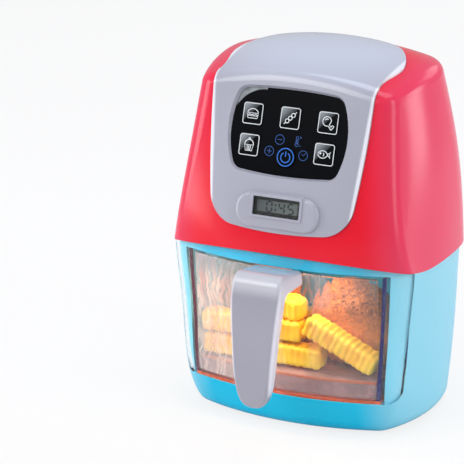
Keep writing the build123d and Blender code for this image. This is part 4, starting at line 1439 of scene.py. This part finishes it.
@dataclass
class Drawer:
    """The clear drawer with its handle and rack."""

    body: str = "drawer"
    window: Clear = Clear("window_clear", (250, 254, 255), (250, 254, 255))
    bin: Clear = EdgedBin("bin_clear", (228, 230, 242), (244, 244, 250), index=1.2)
    rack: Clear = SmokyRack("rack_clear", (226, 190, 196), (232, 212, 212), roughness=0.2,
                            index=1.25, murk=0.3)
    haze: Clear = FlameSkin("haze_clear", (255, 252, 250), (255, 250, 246), index=1.3)
    # painted highlights: pale side edges and a paler top bend
    grey: Moulded = Moulded("handle_grey", (157, 156, 169), 0.22, coat=0.4,
                            flank_highlight=(226, 224, 236), flank_from=7.2, flank_to=8.8,
                            flank_lean=-0.08, crown_highlight=(194, 194, 203), crown_from=97.0,
                            crown_to=106.0)
    steel: Metal = Metal("handle_screw_steel", (190, 192, 196))
    haze_gap: float = 0.3
    haze_thickness: float = 0.5
    haze_half: float = 63.0
    haze_low: float = 27.0
    haze_high: float = 106.0
    notch_half: float = 12.0
    notch_slope: float = 3.0
    notch_depth: float = 7.0
    wave: float = 0.15
    sways: tuple = ((2.2, 11.0, 17.0), (1.1, 5.3, -9.0))
    waves: tuple = ((1.0, 1.0, 1.25, 0.0), (0.7, -1.6, 0.71, 1.0), (0.4, 0.6, 2.3, 2.0))
    columns: int = 260
    rows: int = 70
    probe_start: float = 50.0
    probe_step: float = 0.1

    def ripple(self, x: float, z: float) -> float:
        """How far the window's inner ripples stand at a place: upright waves that sway.

        Args:
            x: The place across the window in millimetres.
            z: Its height in millimetres.

        Returns:
            The height of the ripple in millimetres.
        """
        sway = sum(reach * math.sin(z / rise + x / side) for reach, rise, side in self.sways)
        height = sum(share * math.sin((x + lean * sway) * pitch + start)
                     for share, lean, pitch, start in self.waves)
        return self.wave * height / sum(share for share, *_ in self.waves)

    def ripple_top(self, x: float) -> float:
        """The ripple's top edge, which steps down behind the handle to clear its screws."""
        inside = (self.notch_half + self.notch_slope - abs(x)) / self.notch_slope
        return self.haze_high - self.notch_depth * min(1.0, max(0.0, inside))

    def ripple_points(self) -> list[tuple[float, float, float]]:
        """The ripple's two sides, row by row, from the window's own inner face.

        Returns:
            The places in metres: the flat side's first, then the rippled side's.
        """
        window = frame["nodes"]["drawer_window"].data
        corners = [tuple(vertex.co) for vertex in window.vertices]
        finder = BVHTree.FromPolygons(corners, [tuple(f.vertices) for f in window.polygons])
        low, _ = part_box("drawer_window")
        ahead = Vector((0.0, 1.0, 0.0))
        start, step = low.y - self.probe_start * MM, ahead * (self.probe_step * MM)
        points = []
        for side in (0, 1):
            for row in range(self.rows + 1):
                for column in range(self.columns + 1):
                    x = self.haze_half * (2.0 * column / self.columns - 1.0)
                    z = self.haze_low + (self.ripple_top(x) - self.haze_low) * row / self.rows
                    first, *_ = finder.ray_cast(Vector((x * MM, start, z * MM)), ahead)
                    inner, *_ = finder.ray_cast(first + step, ahead)
                    depth = self.haze_gap
                    if side:
                        depth += self.haze_thickness + self.ripple(x, z)
                    points.append((x * MM, inner.y + depth * MM, z * MM))
        return points

    def inner_ripple(self) -> None:
        """Build the rippled inner skin of the window, which blurs the food into flames."""
        wide = self.columns + 1
        sheet = wide * (self.rows + 1)
        faces = []
        for row in range(self.rows):
            for column in range(self.columns):
                a = row * wide + column
                faces.append((a, a + 1, a + 1 + wide, a + wide))
                b = a + sheet
                faces.append((b, b + wide, b + 1 + wide, b + 1))
        rim = list(range(wide))
        rim += [row * wide + self.columns for row in range(1, self.rows + 1)]
        rim += [self.rows * wide + column for column in range(self.columns - 1, -1, -1)]
        rim += [row * wide for row in range(self.rows - 1, 0, -1)]
        for here, there in zip(rim, rim[1:] + rim[:1]):
            faces.append((here, here + sheet, there + sheet, there))
        mesh = bpy.data.meshes.new("window_ripple")
        mesh.from_pydata(self.ripple_points(), [], faces)
        made = new_piece("window_ripple", mesh, self.haze.build())
        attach(made, self.body)
        log.info("built window_ripple")

    def build(self) -> None:
        """Dress the drawer and add the window's ripple."""
        finishes = {"drawer_window": self.window, "drawer_bin": self.bin,
                    "crisper_rack": self.rack, "drawer_handle": self.grey,
                    "handle_screws": self.steel}
        for node, finish in finishes.items():
            dress(node, finish.build())
        self.inner_ripple()


class CrinkleCut(NodeShape):
    """The tree of one crinkle-cut fry: a rounded stick with ridges all round."""

    steps_along: int = 150
    steps_round: int = 15
    lump_scale: float = 0.16
    end_share: float = 0.25

    def __init__(self) -> None:
        """Build the tree."""
        numbers = ("Length", "Thickness", "Corner", "Pitch", "Ridge", "Lump", "Seed")
        super().__init__("crinkle_cut", {**dict.fromkeys(numbers, "NodeSocketFloat"),
                                         "Material": "NodeSocketMaterial"})
        tree, given = self.tree, self.given.outputs
        size = tree.add("ShaderNodeCombineXYZ", {"X": given["Length"], "Y": given["Thickness"],
                                                 "Z": given["Thickness"]}).outputs[0]
        block = tree.add("GeometryNodeMeshCube", {
            "Size": size, "Vertices X": self.steps_along, "Vertices Y": self.steps_round,
            "Vertices Z": self.steps_round})
        where = tree.add("GeometryNodeInputPosition").outputs[0]
        core = tree.vector("SUBTRACT", size, self.triple(tree.times(given["Corner"], 2.0)))
        half = tree.vector("MULTIPLY", core, (0.5, 0.5, 0.5))
        below = tree.vector("MULTIPLY", half, (-1.0, -1.0, -1.0))
        inner = tree.vector("MAXIMUM", tree.vector("MINIMUM", where, half), below)
        out = tree.add("ShaderNodeVectorMath", {0: tree.vector("SUBTRACT", where, inner)},
                       operation="NORMALIZE").outputs["Vector"]
        rounded = tree.vector("ADD", inner, self.scaled(out, given["Corner"]))
        along = tree.add("ShaderNodeSeparateXYZ", {0: where}).outputs["X"]
        turn = tree.times(tree.sum("DIVIDE", along, given["Pitch"]), 2.0 * math.pi)
        wave = tree.times(tree.sum("SINE", turn), given["Ridge"])
        swell = tree.add("ShaderNodeTexNoise", {
            "Vector": where, "W": given["Seed"], "Scale": self.lump_scale, "Detail": 2.0},
            noise_dimensions="4D").outputs[0]
        lump = tree.times(tree.less(swell, 0.5), given["Lump"])
        level = tree.vector("MULTIPLY", out, (self.end_share, 1.0, 1.0))
        shift = self.scaled(level, tree.plus(wave, lump))
        shaped = tree.add("GeometryNodeSetPosition", {
            "Geometry": block.outputs["Mesh"], "Position": tree.vector("ADD", rounded, shift)})
        self.close(shaped.outputs[0])

    def scaled(self, vector: Socket, scale: Socket) -> Socket:
        """A vector times a number."""
        return self.tree.add("ShaderNodeVectorMath", {0: vector, "Scale": scale},
                             operation="SCALE").outputs["Vector"]

    def triple(self, value: Socket) -> Socket:
        """One number as all three parts of a vector."""
        return self.tree.add("ShaderNodeCombineXYZ", {"X": value, "Y": value,
                                                      "Z": value}).outputs[0]


class Crumbs(NodeShape):
    """The tree that scatters breadcrumbs over a piece's skin."""

    thickest: float = 2.0
    smallest: tuple = (0.5, 0.5, 0.35)
    largest: tuple = (1.5, 1.5, 0.9)

    def __init__(self) -> None:
        """Build the tree."""
        super().__init__("crumbs", {
            "Crumb": "NodeSocketFloat", "Spacing": "NodeSocketFloat", "Seed": "NodeSocketInt",
            "Material": "NodeSocketMaterial"})
        tree, given = self.tree, self.given.outputs
        spots = tree.add("GeometryNodeDistributePointsOnFaces", {
            "Mesh": given["Geometry"], "Distance Min": given["Spacing"],
            "Density Max": self.thickest, "Seed": given["Seed"]}, distribute_method="POISSON")
        crumb = tree.add("GeometryNodeMeshIcoSphere", {"Radius": given["Crumb"],
                                                       "Subdivisions": 1})
        sizes = tree.add("FunctionNodeRandomValue", {
            0: self.smallest, 1: self.largest, "Seed": given["Seed"]}, data_type="FLOAT_VECTOR")
        placed = tree.add("GeometryNodeInstanceOnPoints", {
            "Points": spots.outputs["Points"], "Instance": crumb.outputs["Mesh"],
            "Rotation": spots.outputs["Rotation"], "Scale": sizes.outputs[0]})
        both = tree.add("GeometryNodeJoinGeometry")
        for shape in (given["Geometry"], placed.outputs[0]):
            tree.put(both.inputs[0], shape)
        self.close(both.outputs[0])


@dataclass
class PlayFood:
    """The fries and the breaded pieces on the rack."""

    body: str = "drawer"
    # painted light: the fries' low colour makes their feet paler
    yellow: Cooked = Cooked("fry_yellow", (253, 212, 44), (249, 188, 28), low=(255, 226, 70),
                            low_from=36.0, low_to=50.0, blotch=120.0, pore=900.0,
                            roughness=0.42, relief=0.25, softness=0.2)
    # painted light: the pieces' low colour makes their lower part paler
    brown: Cooked = Cooked("chicken_brown", (178, 102, 40), (116, 58, 22),
                           low=(228, 138, 54), low_from=54.0, low_to=76.0, blotch=480.0,
                           pore=1000.0, roughness=0.55, relief=0.9, softness=0.15)
    fries: tuple = ("fry_front_low", "fry_front_high", "fry_top", "fry_leaning", "fry_back")
    pieces: tuple = ("chicken_right", "chicken_left")
    corner: float = 2.6
    pitch: float = 4.1
    ridge: float = 0.25
    lump: float = 1.6
    stretch: dict = field(default_factory=lambda: {"chicken_right": (1.13, 0.91)})
    voxel: float = 1.1
    softening: float = 0.8
    soft_rounds: int = 12
    weld: float = 0.01
    knobble: float = 0.9
    broad_knob: float = 0.11
    fine_knob: float = 0.35
    fine_share: float = 0.45
    crumb: float = 0.6
    spacing: float = 1.5
    first_seed: int = 3

    def stick_place(self, node: str) -> tuple[Matrix, float, float]:
        """Find how a fry lies, from the frame.

        Args:
            node: The fry's CAD node.

        Returns:
            The stick's placement for a drawing in millimetres, its length and its thickness.
        """
        points = np.array([vertex.co for vertex in frame["nodes"][node].data.vertices])
        middle = (points.max(0) + points.min(0)) / 2
        spread = np.linalg.svd(points - points.mean(0), full_matrices=False)[2][0]
        along = Vector(spread * math.copysign(1.0, spread[0])).normalized()
        across = along.cross(Vector((0.0, 0.0, 1.0))).normalized()
        upward = across.cross(along)
        spans = [np.ptp(points @ np.array(axis)) / MM for axis in (along, across)]
        turn = Matrix((along, -across, upward)).transposed().to_4x4()
        return (Matrix.Translation(Vector(middle)) @ turn @ Matrix.Scale(MM, 4),
                float(spans[0]), float(spans[1]))

    def build_fries(self) -> None:
        """Grow each fry where its CAD solid lies."""
        shape, yellow = CrinkleCut(), self.yellow.build()
        for number, node in enumerate(self.fries):
            place, length, thickness = self.stick_place(node)
            mesh = shape.grow(bpy.data.meshes.new("seedling"), {
                "Length": length, "Thickness": thickness - self.ridge, "Corner": self.corner,
                "Pitch": self.pitch, "Ridge": self.ridge, "Lump": self.lump,
                "Seed": float(number), "Material": yellow})
            mesh.transform(place)
            made = new_piece(f"{node}_crinkle", mesh, yellow)
            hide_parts(node)
            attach(made, self.body)
            log.info("built %s", made.name)

    def plump(self, node: str) -> Mesh:
        """A smooth, knobbly copy of a breaded piece's CAD solid.

        Args:
            node: The piece's CAD node.

        Returns:
            The mesh, in millimetres about the frame's origin.
        """
        copy = frame["nodes"][node].data.copy()
        shape = bmesh.new()
        shape.from_mesh(copy)
        bmesh.ops.remove_doubles(shape, verts=shape.verts, dist=self.weld * MM)
        shape.to_mesh(copy)
        shape.free()
        copy.transform(Matrix.Scale(1.0 / MM, 4))
        holder = bpy.data.objects.new("plump", copy)
        bpy.context.scene.collection.objects.link(holder)
        remesh = holder.modifiers.new("remesh", "REMESH")
        remesh.mode = "VOXEL"
        remesh.voxel_size = self.voxel
        soften = holder.modifiers.new("soften", "SMOOTH")
        soften.factor, soften.iterations = self.softening, self.soft_rounds
        mesh = settled_mesh(holder)
        wider, lower = self.stretch.get(node, (1.0, 1.0))
        right = max(vertex.co.x for vertex in mesh.vertices)
        base = min(vertex.co.z for vertex in mesh.vertices)
        for vertex in mesh.vertices:
            vertex.co.x = right - (right - vertex.co.x) * wider
            vertex.co.z = base + (vertex.co.z - base) * lower
            swell = (noise.noise(vertex.co * self.broad_knob)
                     + self.fine_share * noise.noise(vertex.co * self.fine_knob))
            vertex.co += vertex.normal * swell * self.knobble
        return mesh

    def build_pieces(self) -> None:
        """Grow each breaded piece and scatter its crumbs."""
        shape, brown = Crumbs(), self.brown.build()
        for number, node in enumerate(self.pieces):
            mesh = shape.grow(self.plump(node), {"Crumb": self.crumb, "Spacing": self.spacing,
                                                 "Seed": self.first_seed + number,
                                                 "Material": brown})
            mesh.transform(Matrix.Scale(MM, 4))
            made = new_piece(f"{node}_breaded", mesh, brown)
            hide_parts(node)
            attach(made, self.body)
            log.info("built %s with %d faces", made.name, len(mesh.polygons))


def main() -> None:
    """Build the studio and every piece in order."""
    logging.basicConfig(level=logging.INFO, format="%(name)s: %(message)s")
    Studio().build()
    housing = Housing()
    housing.dress()
    housing.glow()
    ControlHead().build()
    Drawer().build()
    food = PlayFood()
    food.build_fries()
    food.build_pieces()


if __name__ == "__main__":
    main()
